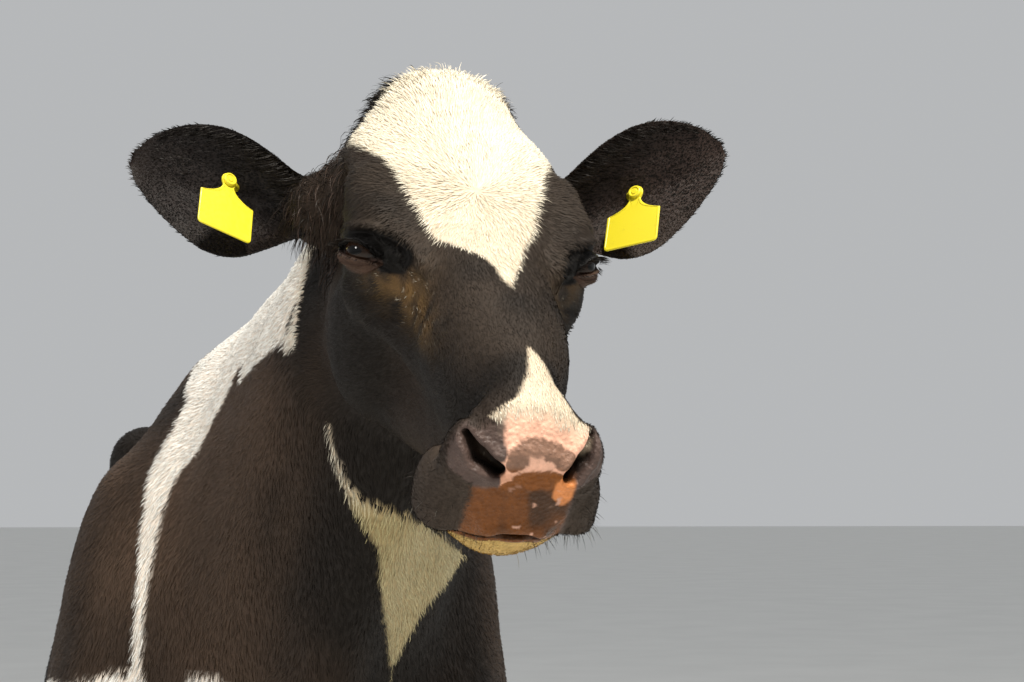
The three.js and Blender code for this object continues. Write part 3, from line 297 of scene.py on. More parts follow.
def head(x, y, z):
    h = into_head(np.stack([x, y, z], 1))
    x, y, z = np.abs(h[:, 0]), -h[:, 1], h[:, 2]
    d = join(SKULL(y, x, z), JAW(y, x, z), 36)
    # poll with its thick pad of hair, cheek, socket, brow and cheekbone
    d = join(d, blob(x, y, z, [0, 8, 1], [60, 40, 36]), 40)
    d = join(d, blob(x, y, z, [66, 143, -158], [37, 88, 82]), 40)
    d = join(d, blob(x, y, z, [80, 206, -58], [27, 50, 38]), 28)
    d = join(d, bar(x, y, z, [88, 150, -26], [87, 205, -31], 16, 14), 22)
    d = join(d, bar(x, y, z, [87, 205, -31], [58, 280, -38], 14, 8), 18)
    d = join(d, bar(x, y, z, [87, 214, -100], [50, 304, -108], 15, 10), 30)
    # hollow of the temple and the ear stalk
    d = carve(d, blob(x, y, z, [117, 108, -84], [26, 44, 34]), 40)
    d = join(d, bar(x, y, z, [78, 50, -90], [104, 45, -97], 40, 36), 26)
    # muzzle, wings of the nostrils, upper lips and chin
    d = join(d, blob(x, y, z, [0, 496, -106], [54, 23, 53]), 22)
    d = join(d, blob(x, y, z, [48, 498, -92], [16, 18, 29]), 14)
    d = join(d, blob(x, y, z, [55, 470, -138], [21, 38, 33]), 20)
    return join(d, blob(x, y, z, [0, 466, -168], [44, 32, 24]), 16)


# ---------- udder and tail ----------
TEATS = [([74, 1010, 536], [74, 1010, 468]), ([62, 1176, 544], [62, 1176, 476])]


def udder(side, y, z):
    x = np.abs(side)
    d = blob(x, y, z, [0, 1085, 640], [158, 205, 128])
    d = join(d, blob(x, y, z, [0, 1262, 740], [96, 92, 170]), 60)
    d = carve(d, blob(x, y, z, [0, 1090, 470], [10, 150, 70]), 40)
    for root, tip in TEATS:
        d = join(d, bar(x, y, z, root, tip, 14, 11), 14)
    return d


def udder_depth(points):
    """How far each place is inside the udder."""
    x, y, z = points.T
    return np.where((z < 900) & (y > 780), -udder(x, y, z), -99)


TAIL_POINTS = np.array([
    [0, TAIL_ROOT_Y, TAIL_ROOT_Z - 4],
    [0, TAIL_ROOT_Y + 38, TAIL_ROOT_Z - 24],
    [0, TAIL_ROOT_Y + 64, TAIL_ROOT_Z - 92],
    [-4, TAIL_ROOT_Y + 66, 1120],
    [-10, TAIL_ROOT_Y + 56, 900],
    [-16, TAIL_ROOT_Y + 50, 720],
    [-18, TAIL_ROOT_Y + 50, TAIL_END - 14],
], float)
TAIL_RADII = [40, 37, 31, 23, 17, 13.5, 12]


def tail(x, y, z):
    d = np.full(len(x), 1e3)
    for a, b, ra, rb in zip(TAIL_POINTS, TAIL_POINTS[1:], TAIL_RADII, TAIL_RADII[1:]):
        d = join(d, bar(x, y, z, a, b, ra - 1, rb - 1), 8)
    return d


# Each part of the body with the stretch it is needed in and how widely it melts into the rest.
PARTS = [
    (neck, lambda x, y, z: y < 460, 90),
    (foreleg, lambda x, y, z: (z < 1150) & (y < 420), 46),
    (hindleg, lambda x, y, z: (z < 1150) & (y > 620), 60),
    (head, lambda x, y, z: y < -250, 36),
    (udder, lambda x, y, z: (z < 1000) & (y > 780), 16),
    (tail, lambda x, y, z: y > 1400, 26),
]


CHEST_LEAN = 11  # how far the weight is carried over to the left


def flesh(points):
    x, y, z = points.T
    x = x - CHEST_LEAN * smooth(-430, -290, y) * smooth(220, 20, y) * smooth(820, 980, z)
    d = trunk(x, y, z)
    for part, where, k in PARTS:
        here = where(x, y, z)
        if here.any():
            d[here] = join(d[here], part(x[here], y[here], z[here]), k)
    return d


def wander(points, size, seed=0):
    """A smooth wandering value between -1 and 1, whose bumps are about size across."""
    p = points / size + seed * 17.3
    cell = np.floor(p).astype(np.int64)
    t = p - cell
    t = t * t * (3 - 2 * t)
    total = 0
    for corner in np.ndindex(2, 2, 2):
        i, j, k = (cell + corner).T
        h = (i * 374761393 + j * 668265263 + k * 1440662683 + seed * 974634777) & 0xFFFFFFFF
        h = ((h ^ (h >> 13)) * 1274126177) & 0xFFFFFFFF
        value = ((h ^ (h >> 16)) & 0xFFFF) / 32767.5 - 1
        total = total + value * np.prod(np.where(corner, t, 1 - t), axis=1)
    return total


RIBS = {"spacing": 74, "lean": 0.34, "height": 2.2}


def bare_body(points):
    """The skin: the flesh drawn in by the depth of the coat, with its small hollows and ribs."""
    _, y, z = points.T
    h = into_head(points)
    face = smooth(-10, 60, -h[:, 1]) * (y < -250)
    relief = 1.6 * wander(points, 95, 1) + 0.8 * wander(points, 38, 2)
    barrel = smooth(330, 470, y) * smooth(980, 800, y) * smooth(700, 850, z) * smooth(1340, 1200, z)
    along = y - RIBS["lean"] * (1400 - z)
    ribs = RIBS["height"] * np.sin(2 * np.pi * along / RIBS["spacing"]) * barrel
    return flesh(points) + mix(BODY_DEPTH, FACE_DEPTH, face) - (relief + ribs) * (1 - face)


# ---------- meshing ----------
def slope_of(field, points, reach=0.6):
    ahead = [field(points + reach * axis) - field(points - reach * axis) for axis in np.eye(3)]
    return np.stack(ahead, 1) / (2 * reach)


def onto(field, points, turns=2, most=8.0):
    """Pulls points onto the surface of a field along its slope."""
    for _ in range(turns):
        slope = slope_of(field, points)
        steep = np.maximum((slope**2).sum(1), 0.04)
        step = slope * (field(points) / steep)[:, None]
        length = np.linalg.norm(step, axis=1, keepdims=True)
        points = points - step * np.minimum(1, most / np.maximum(length, 1e-9))
    return points


BLOCK = 4  # cells along the side of each block of the coarse grid


def grid_values(field, low, shape, cell, reach=95):
    """The field on a grid, worked out finely only near its surface."""
    blocks = [count // BLOCK for count in shape]
    centre = (np.indices(blocks).reshape(3, -1).T + 0.5) * cell * BLOCK + low
    rough = field(centre).reshape(blocks)
    near = np.argwhere(np.abs(rough) < reach)
    values = rough.repeat(BLOCK, 0).repeat(BLOCK, 1).repeat(BLOCK, 2)
    corners = np.indices((BLOCK,) * 3).reshape(3, -1).T
    spots = (near[:, None] * BLOCK + corners[None]).reshape(-1, 3)
    values[tuple(spots.T)] = field(spots * float(cell) + low)
    return values


def surface(field, low, high, cell):
    """A closed net of squares over a field: one point in each cell that the surface passes through."""
    shape = [int(math.ceil((b - a) / cell / BLOCK)) * BLOCK for a, b in zip(low, high)]
    v = grid_values(field, np.array(low, float), shape, cell)
    inside = v < 0
    corners = list(np.ndindex(2, 2, 2))
    cut = [slice(0, -1), slice(1, None)]
    at = [v[cut[a], cut[b], cut[c]] for a, b, c in corners]
    signs = np.stack([a < 0 for a in at])
    active = signs.any(0) & ~signs.all(0)
    cells = np.argwhere(active)
    value = np.stack([a[active] for a in at])
    total, count = np.zeros((len(cells), 3)), np.zeros(len(cells))
    for i, a in enumerate(corners):
        for j, b in enumerate(corners):
            if j <= i or sum(p != q for p, q in zip(a, b)) != 1:
                continue
            crossed = (value[i] < 0) != (value[j] < 0)
            t = np.where(crossed, value[i] / np.where(crossed, value[i] - value[j], 1), 0)
            total += np.where(crossed[:, None], mix(np.array(a), np.array(b), t[:, None]), 0)
            count += crossed
    points = (cells + total / count[:, None]) * cell + low
    number = np.full(active.shape, -1)
    number[tuple(cells.T)] = np.arange(len(cells))
    quads = []
    for axis in range(3):
        u, w = (axis + 1) % 3, (axis + 2) % 3
        first = np.take(inside, range(shape[axis] - 1), axis)
        second = np.take(inside, range(1, shape[axis]), axis)
        spots = np.argwhere(first != second)
        spots = spots[(spots[:, u] > 0) & (spots[:, w] > 0)]
        ring = []
        for a, b in [(0, 0), (1, 0), (1, 1), (0, 1)]:
            cell_at = spots.copy()
            cell_at[:, u] -= a
            cell_at[:, w] -= b
            ring.append(number[tuple(cell_at.T)])
        ring = np.stack(ring, 1)
        outward = inside[tuple(spots.T)]
        quads.append(np.where(outward[:, None], ring, ring[:, ::-1]))
    return points, np.concatenate(quads)


def relaxed(points, quads, field, rounds):
    """Evens out a net, keeping it on its surface."""
    pairs = np.concatenate([quads[:, [0, 1]], quads[:, [1, 2]], quads[:, [2, 3]], quads[:, [3, 0]]])
    ends = np.concatenate([pairs[:, 0], pairs[:, 1]])
    others = np.concatenate([pairs[:, 1], pairs[:, 0]])
    count = np.bincount(ends, minlength=len(points))[:, None]
    for _ in range(rounds):
        mean = np.stack([np.bincount(ends, points[others, m], len(points)) for m in range(3)], 1) / count
        points = onto(field, mix(points, mean, 0.6), turns=1)
    return points


def mesh_of(name, points, faces):
    """A mesh from design points and faces, whose rows may be of several lengths."""
    mesh = bpy.data.meshes.new(name)
    faces = faces if isinstance(faces, list) else [faces]
    faces = [f for f in faces if len(f)]
    sizes = np.concatenate([np.full(len(f), f.shape[1]) for f in faces])
    mesh.vertices.add(len(points))
    mesh.vertices.foreach_set("co", to_part(points).astype(np.float32).ravel())
    mesh.loops.add(int(sizes.sum()))
    mesh.loops.foreach_set("vertex_index", np.concatenate([f.ravel() for f in faces]).astype(np.int32))
    mesh.polygons.add(len(sizes))
    mesh.polygons.foreach_set("loop_start", np.concatenate([[0], np.cumsum(sizes)[:-1]]).astype(np.int32))
    mesh.update(calc_edges=True)
    mesh.shade_smooth()
    return mesh


def points_of(mesh):
    """A mesh's points, in design millimetres."""
    flat = np.empty(len(mesh.vertices) * 3, np.float32)
    mesh.vertices.foreach_get("co", flat)
    return flat.reshape(-1, 3).astype(float) * 1000 - SHIFT


def normals_of(mesh):
    flat = np.empty(len(mesh.vertices) * 3, np.float32)
    mesh.vertices.foreach_get("normal", flat)
    return flat.reshape(-1, 3).astype(float)


def move_points(mesh, points):
    mesh.vertices.foreach_set("co", to_part(points).astype(np.float32).ravel())
    mesh.update()


def refine(mesh, wanted):
    """Splits in four the faces whose middles are wanted."""
    bm = bmesh.new()
    bm.from_mesh(mesh)
    middles = np.array([f.calc_center_median() for f in bm.faces]) * 1000 - SHIFT
    picked = wanted(middles)
    edges = {edge for face, yes in zip(bm.faces, picked) if yes for edge in face.edges}
    bmesh.ops.subdivide_edges(bm, edges=list(edges), cuts=1, use_grid_fill=True)
    bm.to_mesh(mesh)
    bm.free()


# ---------- the eyes, each in a frame of its own: towards the muzzle, up across that, and outward ----------
def eye_frame():
    """The left eye's centre and axes in the head's frame. The right eye is its mirror image."""
    low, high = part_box("eye_left")
    centre = into_head((np.array(low) + np.array(high)) * 500 - SHIFT) + [3, 3, -2]
    out = unit([0.72, -0.61, 0.33])
    high = unit(-np.cross(unit(np.cross([0, 0.30, 1.0], out)), out))
    return centre, np.stack([np.cross(high, out), high, out], 1)


EYE_CENTRE, EYE_AXES = eye_frame()
EYE_LONG, EYE_HIGH = 21.0, 7.2  # half sizes of the opening between the lids
LID_THICK = 2.6


def eye_place(h, side):
    """Head coordinates to the frame of the eye on a side, +1 for the left."""
    return (h * (side, 1, 1) - EYE_CENTRE) @ EYE_AXES


def from_eye(local, side):
    return (local @ EYE_AXES.T + EYE_CENTRE) * (side, 1, 1)


def eye_ring(a, b):
    """1 at the edge of the opening, whose corner towards the muzzle hangs a little."""
    b = b - 0.07 * a + 0.006 * a * a
    return np.hypot(a / EYE_LONG, b / np.where(b > 0, EYE_HIGH, EYE_HIGH * 0.84))


def lid_height(a, b):
    return (EYE_RADIUS + LID_THICK) * np.sqrt(np.maximum(1 - (a / 29) ** 2 - (b / 25) ** 2, 0.12))


def ridge(value, middle, width):
    return np.exp(-(((value - middle) / width) ** 2))


def shape_eye(h, side):
    """Sinks the socket behind the eyeball and raises the lids round it, with their folds."""
    a, b, c = eye_place(h, side).T
    e = eye_ring(a, b)
    below = smooth(1, -5, b)
    around = np.hypot(a / 29, b / np.where(b > 0, 18, 17))
    hood = np.hypot((a + 17) / 43, (b - 1) / 17)
    lid = lid_height(a, b) + np.where(b > 0, 1.8, 0.2) * smooth(1.7, 1.05, e)
    lid -= 1.7 * ridge(np.hypot(a / 25, b / 11.5), 1, 0.11) * below
    lid += 0.9 * ridge(e, 1.12, 0.09) + 1.0 * ridge(np.hypot(a / 27, b / 14), 1, 0.14) * below
    socket = np.sqrt(np.maximum((EYE_RADIUS - 2) ** 2 - a * a - b * b, 0))
    socket = np.maximum(socket, lid_height(a, b) - 6.2)
    shaped = mix(socket, lid, smooth(0.965, 1.035, e))
    bag = 1.6 * ridge(around, 1.0, 0.12) * below
    shaped = mix(shaped, c - bag, smooth(0.86, 1.22, around))
    tear = ridge(b, -5 - 5 * smooth(-20, -42, a), 2.6) * smooth(-17, -24, a) * smooth(-64, -50, a)
    brow = ridge(hood, 1.34, 0.22) * smooth(-4, 8, b)
    furrow = ridge(hood, 0.98, 0.12) * smooth(-8, 1, b)
    shaped += 5 * brow - 4.2 * furrow - 3.2 * tear
    near = (around < 2.6) & (c > -12)
    return np.where(near[:, None], from_eye(np.stack([a, b, np.where(near, shaped, c)], 1), side), h)


def eye_tones(points, h):
    """Where the dark skin of the lids, spread over the socket and the brow's furrow as painted shade, and the
    paler pouch under each eye are.
    """
    lids, pouch = np.zeros(len(h)), np.zeros(len(h))
    for sign in (1, -1):
        a, b, c = eye_place(h, sign).T
        here = (c > -12) & (points[:, 1] < FACE_Y)
        low = -3 - 9 * smooth(-22, -34, a)
        dark = smooth(1.14, 0.90, np.hypot((a + 19) / 47, (b - 2) / 18)) * smooth(low - 3, low + 1, b)
        pale = smooth(-4, -7, b) * smooth(1.25, 1.0, np.hypot(a / 27, b / 17))
        lids = np.where(here, np.maximum(lids, dark), lids)
        pouch = np.where(here, np.maximum(pouch, pale), pouch)
    return lids[:, None], pouch[:, None]


# ---------- nostrils, mouth and folds of the face, in the head's frame ----------
NOSTRIL = {"at": [40, -514, -84], "out": [0.42, -0.87, 0.25], "deep": 20}
# Each nostril from its lower inner end to its upper outer end: rows of [side, y, up, radius].
NOSTRIL_PATHS = {
    1: np.array([[35, -519, -93, 6.0], [45, -514, -80, 5.2], [51, -504, -64, 2.2]]),
    -1: np.array([[25, -519, -90, 6.4], [40, -515, -81, 6.0], [51, -506, -67, 2.8]]),
}


def nostril_distance(h, side):
    """How far a place is from the comma of a nostril, seen straight into it."""
    out = unit(NOSTRIL["out"])
    high = unit(np.array([0, 0, 1.0]) - out * out[2])
    wide = np.cross(high, out)
    p = h * (side, 1, 1) - NOSTRIL["at"]
    u, v, zero = p @ wide, p @ high, np.zeros(len(h))
    path = NOSTRIL_PATHS[side]
    ends = [[0, (q - NOSTRIL["at"]) @ wide, (q - NOSTRIL["at"]) @ high] for q in path[:, :3]]
    first = bar(zero, u, v, ends[0], ends[1], *path[:2, 3])
    return join(first, bar(zero, u, v, ends[1], ends[2], *path[1:, 3]), 3), out * (side, 1, 1)


def mouth_height(h):
    """The height of the line between the lips at a place along the head."""
    front = -151 - 11 * smooth(8, 36, np.abs(h[:, 0]))
    return mix(front, -156, smooth(470, 390, -h[:, 1]))


# Each fold of skin: its two ends in the head's frame, width and depth.
FOLDS = [
    ([60, -262, -34], [86, -236, -24], 3.5, 2.2),
    ([72, -282, -64], [92, -246, -88], 4.5, 1.6),
    ([64, -300, -72], [88, -256, -102], 4.5, 1.3),
    ([48, -392, -160], [56, -356, -172], 4.0, 2.0),
    ([52, -408, -136], [58, -372, -124], 5.0, 1.4),
    ([46, -488, -62], [44, -462, -84], 3.5, 1.5),
    ([38, -470, -48], [42, -440, -66], 4.0, 1.2),
    ([60, -500, -92], [50, -512, -104], 3.5, 1.6),
    ([96, -120, -190], [60, -60, -240], 8.0, 2.5),
]


def shape_face(points, normals):
    """The fine forms of the head that the field is too coarse for."""
    h = into_head(points)
    face = smooth(-20, 30, -h[:, 1]) * (points[:, 1] < FACE_Y)
    inward = np.zeros(len(h))
    for side in (1, -1):
        for a, b, width, depth in FOLDS:
            mirrored = h * (side, 1, 1)
            away = bar(*mirrored.T, a, b, 0, 0)
            inward += depth * ridge(away, 0, width) - 0.5 * depth * ridge(away, 2 * width, width)
    along = -h[:, 1]
    lips = smooth(380, 400, along)
    gap = h[:, 2] - mouth_height(h)
    inward += lips * (7 * ridge(gap, 0, 2.6) - 2.0 * ridge(gap, 8, 6))
    inward += 0.9 * wander(points, 26, 3) + 0.35 * wander(points, 9, 4)
    inward = inward * face
    h = into_head(points - normals * inward[:, None])
    for side in (1, -1):
        away, out = nostril_distance(h, side)
        here = (along > 466) & (h[:, 0] * side > 2) & (h[:, 2] > -124) & (h[:, 2] < -38)
        depth = NOSTRIL["deep"] * smooth(1.2, -4, away) - 2.2 * ridge(away, 4.0, 3.0)
        h = h - out * np.where(here, depth, 0)[:, None]
        h = shape_eye(h, side)
    return np.where(face[:, None] > 0, out_of_head(h), points)


def around_face(points):
    """How near a place on the head is to an eye's lids, a nostril or the mouth: below 1 is close."""
    h = into_head(points)
    near = np.full(len(h), 9.0)
    for side in (1, -1):
        a, b, c = eye_place(h, side).T
        near = np.where(c > -12, np.minimum(near, np.hypot((a + 14) / 50, b / 25)), near)
        away = nostril_distance(h, side)[0]
        near = np.where((-h[:, 1] > 452) & (h[:, 0] * side > 0), np.minimum(near, away / 9), near)
    gap = np.abs(h[:, 2] - mouth_height(h))
    return np.where(-h[:, 1] > 378, np.minimum(near, gap / 9), near)


# ---------- the ears: leaf-shaped cups, whose fine skin is part of the skin's mesh ----------
# Each ear's side, its sweep back and rise in degrees, the height of its root, and how dark its back is; the
# right ear's back is darker, as painted shade.
EAR_FORMS = {
    "left": {"side": 1, "back": 11, "rise": 23, "root": -87, "tone": 0.42},
    "right": {"side": -1, "back": 30, "rise": 0, "root": -102, "tone": 0.26},
}
EAR_START = 128  # how far out from the middle of the head each ear's own places begin
# Rows of [along, half width above, half width below, depth to the back, depth of the cup, place of the rim].
EAR_ROWS = np.array([
    [-34, 20, 16, 24, 0, 14],
    [-22, 25, 22, 28, 0, 15],
    [-6, 29, 31, 30, 5, 15],
    [14, 33, 46, 32, 20, 14],
    [40, 43, 62, 31, 24, 13],
    [70, 52, 65, 27, 20, 12],
    [100, 55, 56, 20, 14, 10],
    [128, 50, 43, 14.5, 9, 8],
    [152, 38, 29, 10.5, 5, 6],
    [168, 24, 17, 8, 3, 4],
    [178, 9, 5, 5.5, 1.5, 3],
], float)
EAR_RIM = 3.5
TAG_PLACE = {"left": (74, -7), "right": (72, 5)}  # along and up
# The plates' own axes: across them towards the ear's tip, and down them.
TAG_HANG = {
    "left": ([0.779, -0.59, 0.14], [-0.12, -0.46, -0.88]),
    "right": ([-0.831, -0.46, 0.317], [-0.05, -0.50, -0.86]),
}
PLATE_AHEAD = 15  # of the ear's middle


def ear_axes(name):
    """Rows for a left ear, in the head's frame: towards its tip, up across it, forward out of its cup."""
    form = EAR_FORMS[name]
    back, rise, nod = (math.radians(v) for v in (form["back"], form["rise"], HEAD_NOD))
    along = np.array([math.cos(back) * math.cos(rise), math.sin(back) * math.cos(rise), math.sin(rise)])
    forward = np.array([0, -math.cos(nod), math.sin(nod)])
    forward = unit(forward - along * (forward @ along))
    return np.stack([along, np.cross(forward, along), forward])


def on_ear(name, local):
    """Places given along, up and forward on an ear, as design points."""
    form = EAR_FORMS[name]
    h = np.asarray(local) @ ear_axes(name) + [EAR_START, -42, form["root"]]
    return out_of_head(h * (form["side"], 1, 1))


def ring_quads(count, n):
    """Squares between neighbouring rings of n points each."""
    ring, j = np.divmod(np.arange((count - 1) * n), n)
    k = (j + 1) % n
    return np.stack([ring * n + j, ring * n + k, (ring + 1) * n + k, (ring + 1) * n + j], 1)


def ear_net(name, steps=46, across=23):
    """One ear as points and squares, with which points lie on the side of its cup."""
    places = mix(EAR_ROWS[0, 0], EAR_ROWS[-1, 0], np.linspace(0, 1, steps) ** 0.9)
    rows = curve_through(EAR_ROWS[:, 0], EAR_ROWS[:, 1:], places)
    s = np.sin(np.linspace(-0.5, 0.5, across) * np.pi)
    points, inner = [], []
    for along, (above, below, back, cup, rim) in zip(places, rows):
        up = s * np.where(s > 0, above, below)
        ribs = 1.3 * np.sin(s * 9) * smooth(20, 60, along) * smooth(150, 110, along) * (1 - s * s)
        front = rim - cup * (1 - s * s) + ribs
        behind = rim - EAR_RIM - (back - EAR_RIM) * (1 - s * s) ** 0.8
        level = np.full(across, along)
        ring = [np.stack([level, up, front], 1), np.stack([level, up, behind], 1)[::-1]]
        points.append(np.concatenate(ring))
        inner.append(np.concatenate([np.ones(across), np.zeros(across)]))
    n = 2 * across
    last = (steps - 1) * n + np.arange(n)
    facing = last[::-1]
    tip = np.stack([last[: across - 1], last[1:across], facing[1:across], facing[: across - 1]], 1)
    quads = np.concatenate([ring_quads(steps, n), tip])
    if EAR_FORMS[name]["side"] < 0:
        quads = quads[:, ::-1]
    return on_ear(name, np.concatenate(points)), quads, np.concatenate(inner)


# ---------- the skin ----------
SKIN_BOX = ([-440, -1060, 30], [440, 1600, 1710])
LEG_NODES = [
    f"{leg}_{side}_{part}"
    for leg in ("foreleg", "hindleg")
    for side in ("left", "right")
    for part in ("upper", "lower")
]
FLESH_NODES = ["head", "neck", "torso", "udder", "tail", "ear_left", "ear_right", *LEG_NODES]


def on_head(points, least=0):
    """Which points lie on the head, at least so far along it from the poll."""
    h = into_head(points)
    return (points[:, 1] < HEAD_Y) & (-h[:, 1] > least) & (h[:, 2] > -330)


def thin_parts(points):
    """Which points lie on the shanks, the tail or the head."""
    _, y, z = points.T
    return (z < 560) | ((y > 1490) & (z < 1330)) | on_head(points)


def build_skin():
    points, quads = surface(bare_body, *SKIN_BOX, CELL)
    points = relaxed(onto(bare_body, points), quads, bare_body, 2)
    mesh = mesh_of("skin", points, quads)
    refine(mesh, thin_parts)
    refine(mesh, lambda p: on_head(p, 10))
    move_points(mesh, onto(bare_body, points_of(mesh)))
    refine(mesh, lambda p: on_head(p, 150) & (around_face(p) < 1))
    refine(mesh, lambda p: on_head(p, 150) & (around_face(p) < 0.62))
    points = onto(bare_body, points_of(mesh), turns=1)
    move_points(mesh, points)
    move_points(mesh, shape_face(points, normals_of(mesh)))
    return mesh


def finish_object(name, mesh, material, nodes=()):
    piece = bpy.data.objects.new(name, mesh)
    bpy.context.scene.collection.objects.link(piece)
    mesh.materials.clear()
    mesh.materials.append(material)
    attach(piece, "root")
    if nodes:
        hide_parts(*nodes)
    return piece


# ---------- markings: how far inside the white a place is, in millimetres ----------
# The blaze and the patch over the nose: rows of [along, edge on the right, edge on the left].
BLAZE = np.array([
    [-40, -6, 10], [-16, -12, 22], [0, -31, 38], [24, -62, 60], [44, -88, 76], [66, -92, 86], [94, -87, 90],
    [116, -80, 84], [150, -70, 70], [186, -62, 59], [230, -54, 47], [262, -46, 36], [275, -34, 30],
    [296, -13, 22], [313, -4, 16], [334, 0, 9], [345, 5, 5], [356, 12, -8], [422, 12, -4], [434, 3, 6],
    [446, 2, 14], [460, 1, 22], [480, -5, 29], [490, -10, 36], [495, -24, 42], [498, -32, 46], [502, -25, 50],
    [530, -22, 52],
], float)
# The patch on the throat and chest: rows of [height, edge on the right, edge on the left].
CHEST = np.array([
    [1060, 126, 124], [1089, 124, 126], [1120, 120, 142], [1148, 115, 158], [1182, 109, 196],
    [1203, 110, 212], [1222, 104, 182], [1240, 91, 152], [1252, 84, 125], [1262, 79, 98], [1270, 75, 82],
    [1290, 66, 70], [1309, 60, 63], [1339, 54, 57], [1352, 52, 53],
], float)
# The band over the withers and down behind the right shoulder: rows of [height, front edge, back edge].
RIGHT_BAND = np.array([
    [1050, -262, -230], [1084, -242, -233], [1149, -227, -218], [1200, -220, -203], [1251, -208, -182],
    [1291, -205, -158], [1318, -240, -150], [1345, -253, -146], [1374, -273, -136], [1390, -300, -100],
    [1410, -414, -40], [1424, -520, -10], [1600, -590, 10],
], float)
LEFT_BAND = np.array([
    [1290, -190, -200], [1330, -210, -150], [1380, -280, -110], [1430, -420, -40], [1500, -560, 0],
    [1600, -590, 10],
], float)
# The ragged lower edge of that band along the right of the neck: rows of [y, height].
NECK_EDGE = np.array([
    [-600, 1450], [-530, 1440], [-498, 1430], [-486, 1408], [-476, 1404], [-466, 1416], [-452, 1408],
    [-438, 1420], [-424, 1419], [-402, 1410], [-384, 1405], [-368, 1399], [-340, 1394], [-322, 1386],
    [-308, 1390], [-297, 1408], [-285, 1404], [-272, 1374],
], float)
# Thin slivers of one colour within the other, from end to end.
SLIVERS = {"dark": ([25, -458, 1458], [18, -447, 1434]), "white": ([-214, -172, 1140], [-224, -196, 1020])}
# The white that rises from the brisket and forelegs: rows of [side, height].
LOW_WHITE = np.array([
    [-300, 1052], [-200, 1066], [-184, 1074], [-164, 1079], [-139, 1074], [-125, 1058], [-95, 1060],
    [-84, 1078], [-57, 1080], [-46, 1072], [-20, 1055], [20, 1035], [90, 985], [160, 905], [300, 850],
], float)
FLANK = {"left": (1010, 118, 40), "right": (1050, 76, -90)}  # middle, half width and lean of the patch there


def strip(rows, at, across):
    """How far a place is inside a strip, given by rows of [place along it, low edge, high edge]."""
    low, high = np.interp(at, rows[:, 0], rows[:, 1]), np.interp(at, rows[:, 0], rows[:, 2])
    return np.minimum(across - low, high - across)


def within(*values):
    """How far a place is inside all of several bounds."""
    return np.minimum.reduce(values)


def white_depth(points):
    """How far inside the white each place is."""
    x, y, z = points.T
    h = into_head(points)
    side, along, up = h[:, 0], -h[:, 1], h[:, 2]
    is_head = (y < HEAD_Y) & (along > -14) & (up > -300)
    blaze = within(strip(BLAZE, along, side), up + mix(29, 84, smooth(200, 400, along)), 1.2 * (along + 16))
    chin = within(mouth_height(h) - 2 - up, along - 410, 46 - np.abs(side))
    face = np.where(is_head, np.maximum(blaze, chin), -99)
    chest = within(strip(CHEST, z, x), -150 - y)
    on_right = x + np.minimum(0, y + 60) * 0.35 < 10
    right = np.where(y < -272, z - np.interp(y, NECK_EDGE[:, 0], NECK_EDGE[:, 1]), strip(RIGHT_BAND, z, y))
    band = np.where(on_right, right, strip(LEFT_BAND, z, y))
    withers = within(band, 1596 - z, bar(x, y, z, *SLIVERS["dark"], 2.2, 3.4))
    low = within(np.interp(x, LOW_WHITE[:, 0], LOW_WHITE[:, 1]) - z, 80 - y)
    belly = within(706 + 60 * np.sin(y / 210) - z, y - 40)
    body = np.maximum.reduce([chest, withers, low, belly, -bar(x, y, z, *SLIVERS["white"], 2, 8)])
    for name, (middle, half, lean) in FLANK.items():
        away = np.abs(y - middle - lean * (z - 1000) / 400) - half * (0.75 + 0.5 * smooth(1300, 800, z))
        top, outward = (1440, x) if name == "left" else (1240, -x)
        body = np.maximum(body, within(-away, top - z, outward))
    hind = within(700 - z + 40 * (x > 0), y - 900)
    switch = within(790 - z, y - 1480)
    body = np.maximum.reduce([body, hind, switch])
    spots = 26 * wander(points * [1, 1, 0.7], 90, 8) - 17
    body = np.where((z < 560) & (y < 1460), np.minimum(body, -spots * 3), body)
    calm = mix(0.25, 1.0, smooth(-150, -60, y) * (1 - is_head))
    rough = 5 * wander(points, 24, 5) + 2.5 * wander(points, 8, 6)
    return np.where(is_head, face, body) + calm * rough


# ---------- colours of the coat and skin ----------
BLACK_COAT = (0.0105, 0.0078, 0.0058)
# Brown coat also serves as painted sheen over the right of the neck and shoulders.
BROWN_COAT = (0.074, 0.048, 0.032)
WHITE_COAT = (0.745, 0.68, 0.545)
# Painted sheen: the black coat made paler down the front of the face, where it faces the light.
FACE_FRONT_SHEEN = np.array([0.037, 0.028, 0.021])  # down the front of the face
WORN_COAT = np.array([0.054, 0.042, 0.033])  # round the muzzle
SHAG_BROWN = np.array([0.070, 0.045, 0.034])
EAR_CUP = np.array([0.020, 0.011, 0.008])
BODY_WHITE = np.array([0.88, 0.865, 0.82])  # over the neck and body
# Darker and olive-yellow, for the white under the chin.
CHIN_OLIVE = np.array([0.58, 0.41, 0.12])
# Painted shade and painted yellow-green bounce light, for the white low on the left of the chest.
CHEST_SHADE_AND_BOUNCE = np.array([0.42, 0.345, 0.145])
FOOT_STAIN = np.array([0.97, 0.9, 0.78])
SWITCH_STAIN = np.array([0.94, 0.88, 0.78])
DUST = np.array([0.20, 0.120, 0.045])
PINK_SKIN = np.array([0.80, 0.45, 0.32])
DARK_SKIN = np.array([0.085, 0.056, 0.047])
RUST_SKIN = np.array([0.150, 0.047, 0.007])
BROWN_SKIN = np.array([0.055, 0.021, 0.006])
ORANGE_SKIN = np.array([0.66, 0.24, 0.075])
BLOTCH_SKIN = np.array([0.24, 0.135, 0.092])
POUCH_SKIN = np.array([0.075, 0.042, 0.028])
UDDER_PINK = np.array([0.72, 0.42, 0.33])
UNDER_COAT = np.array([0.86, 0.78, 0.72])  # how much darker the skin is than the hair on it
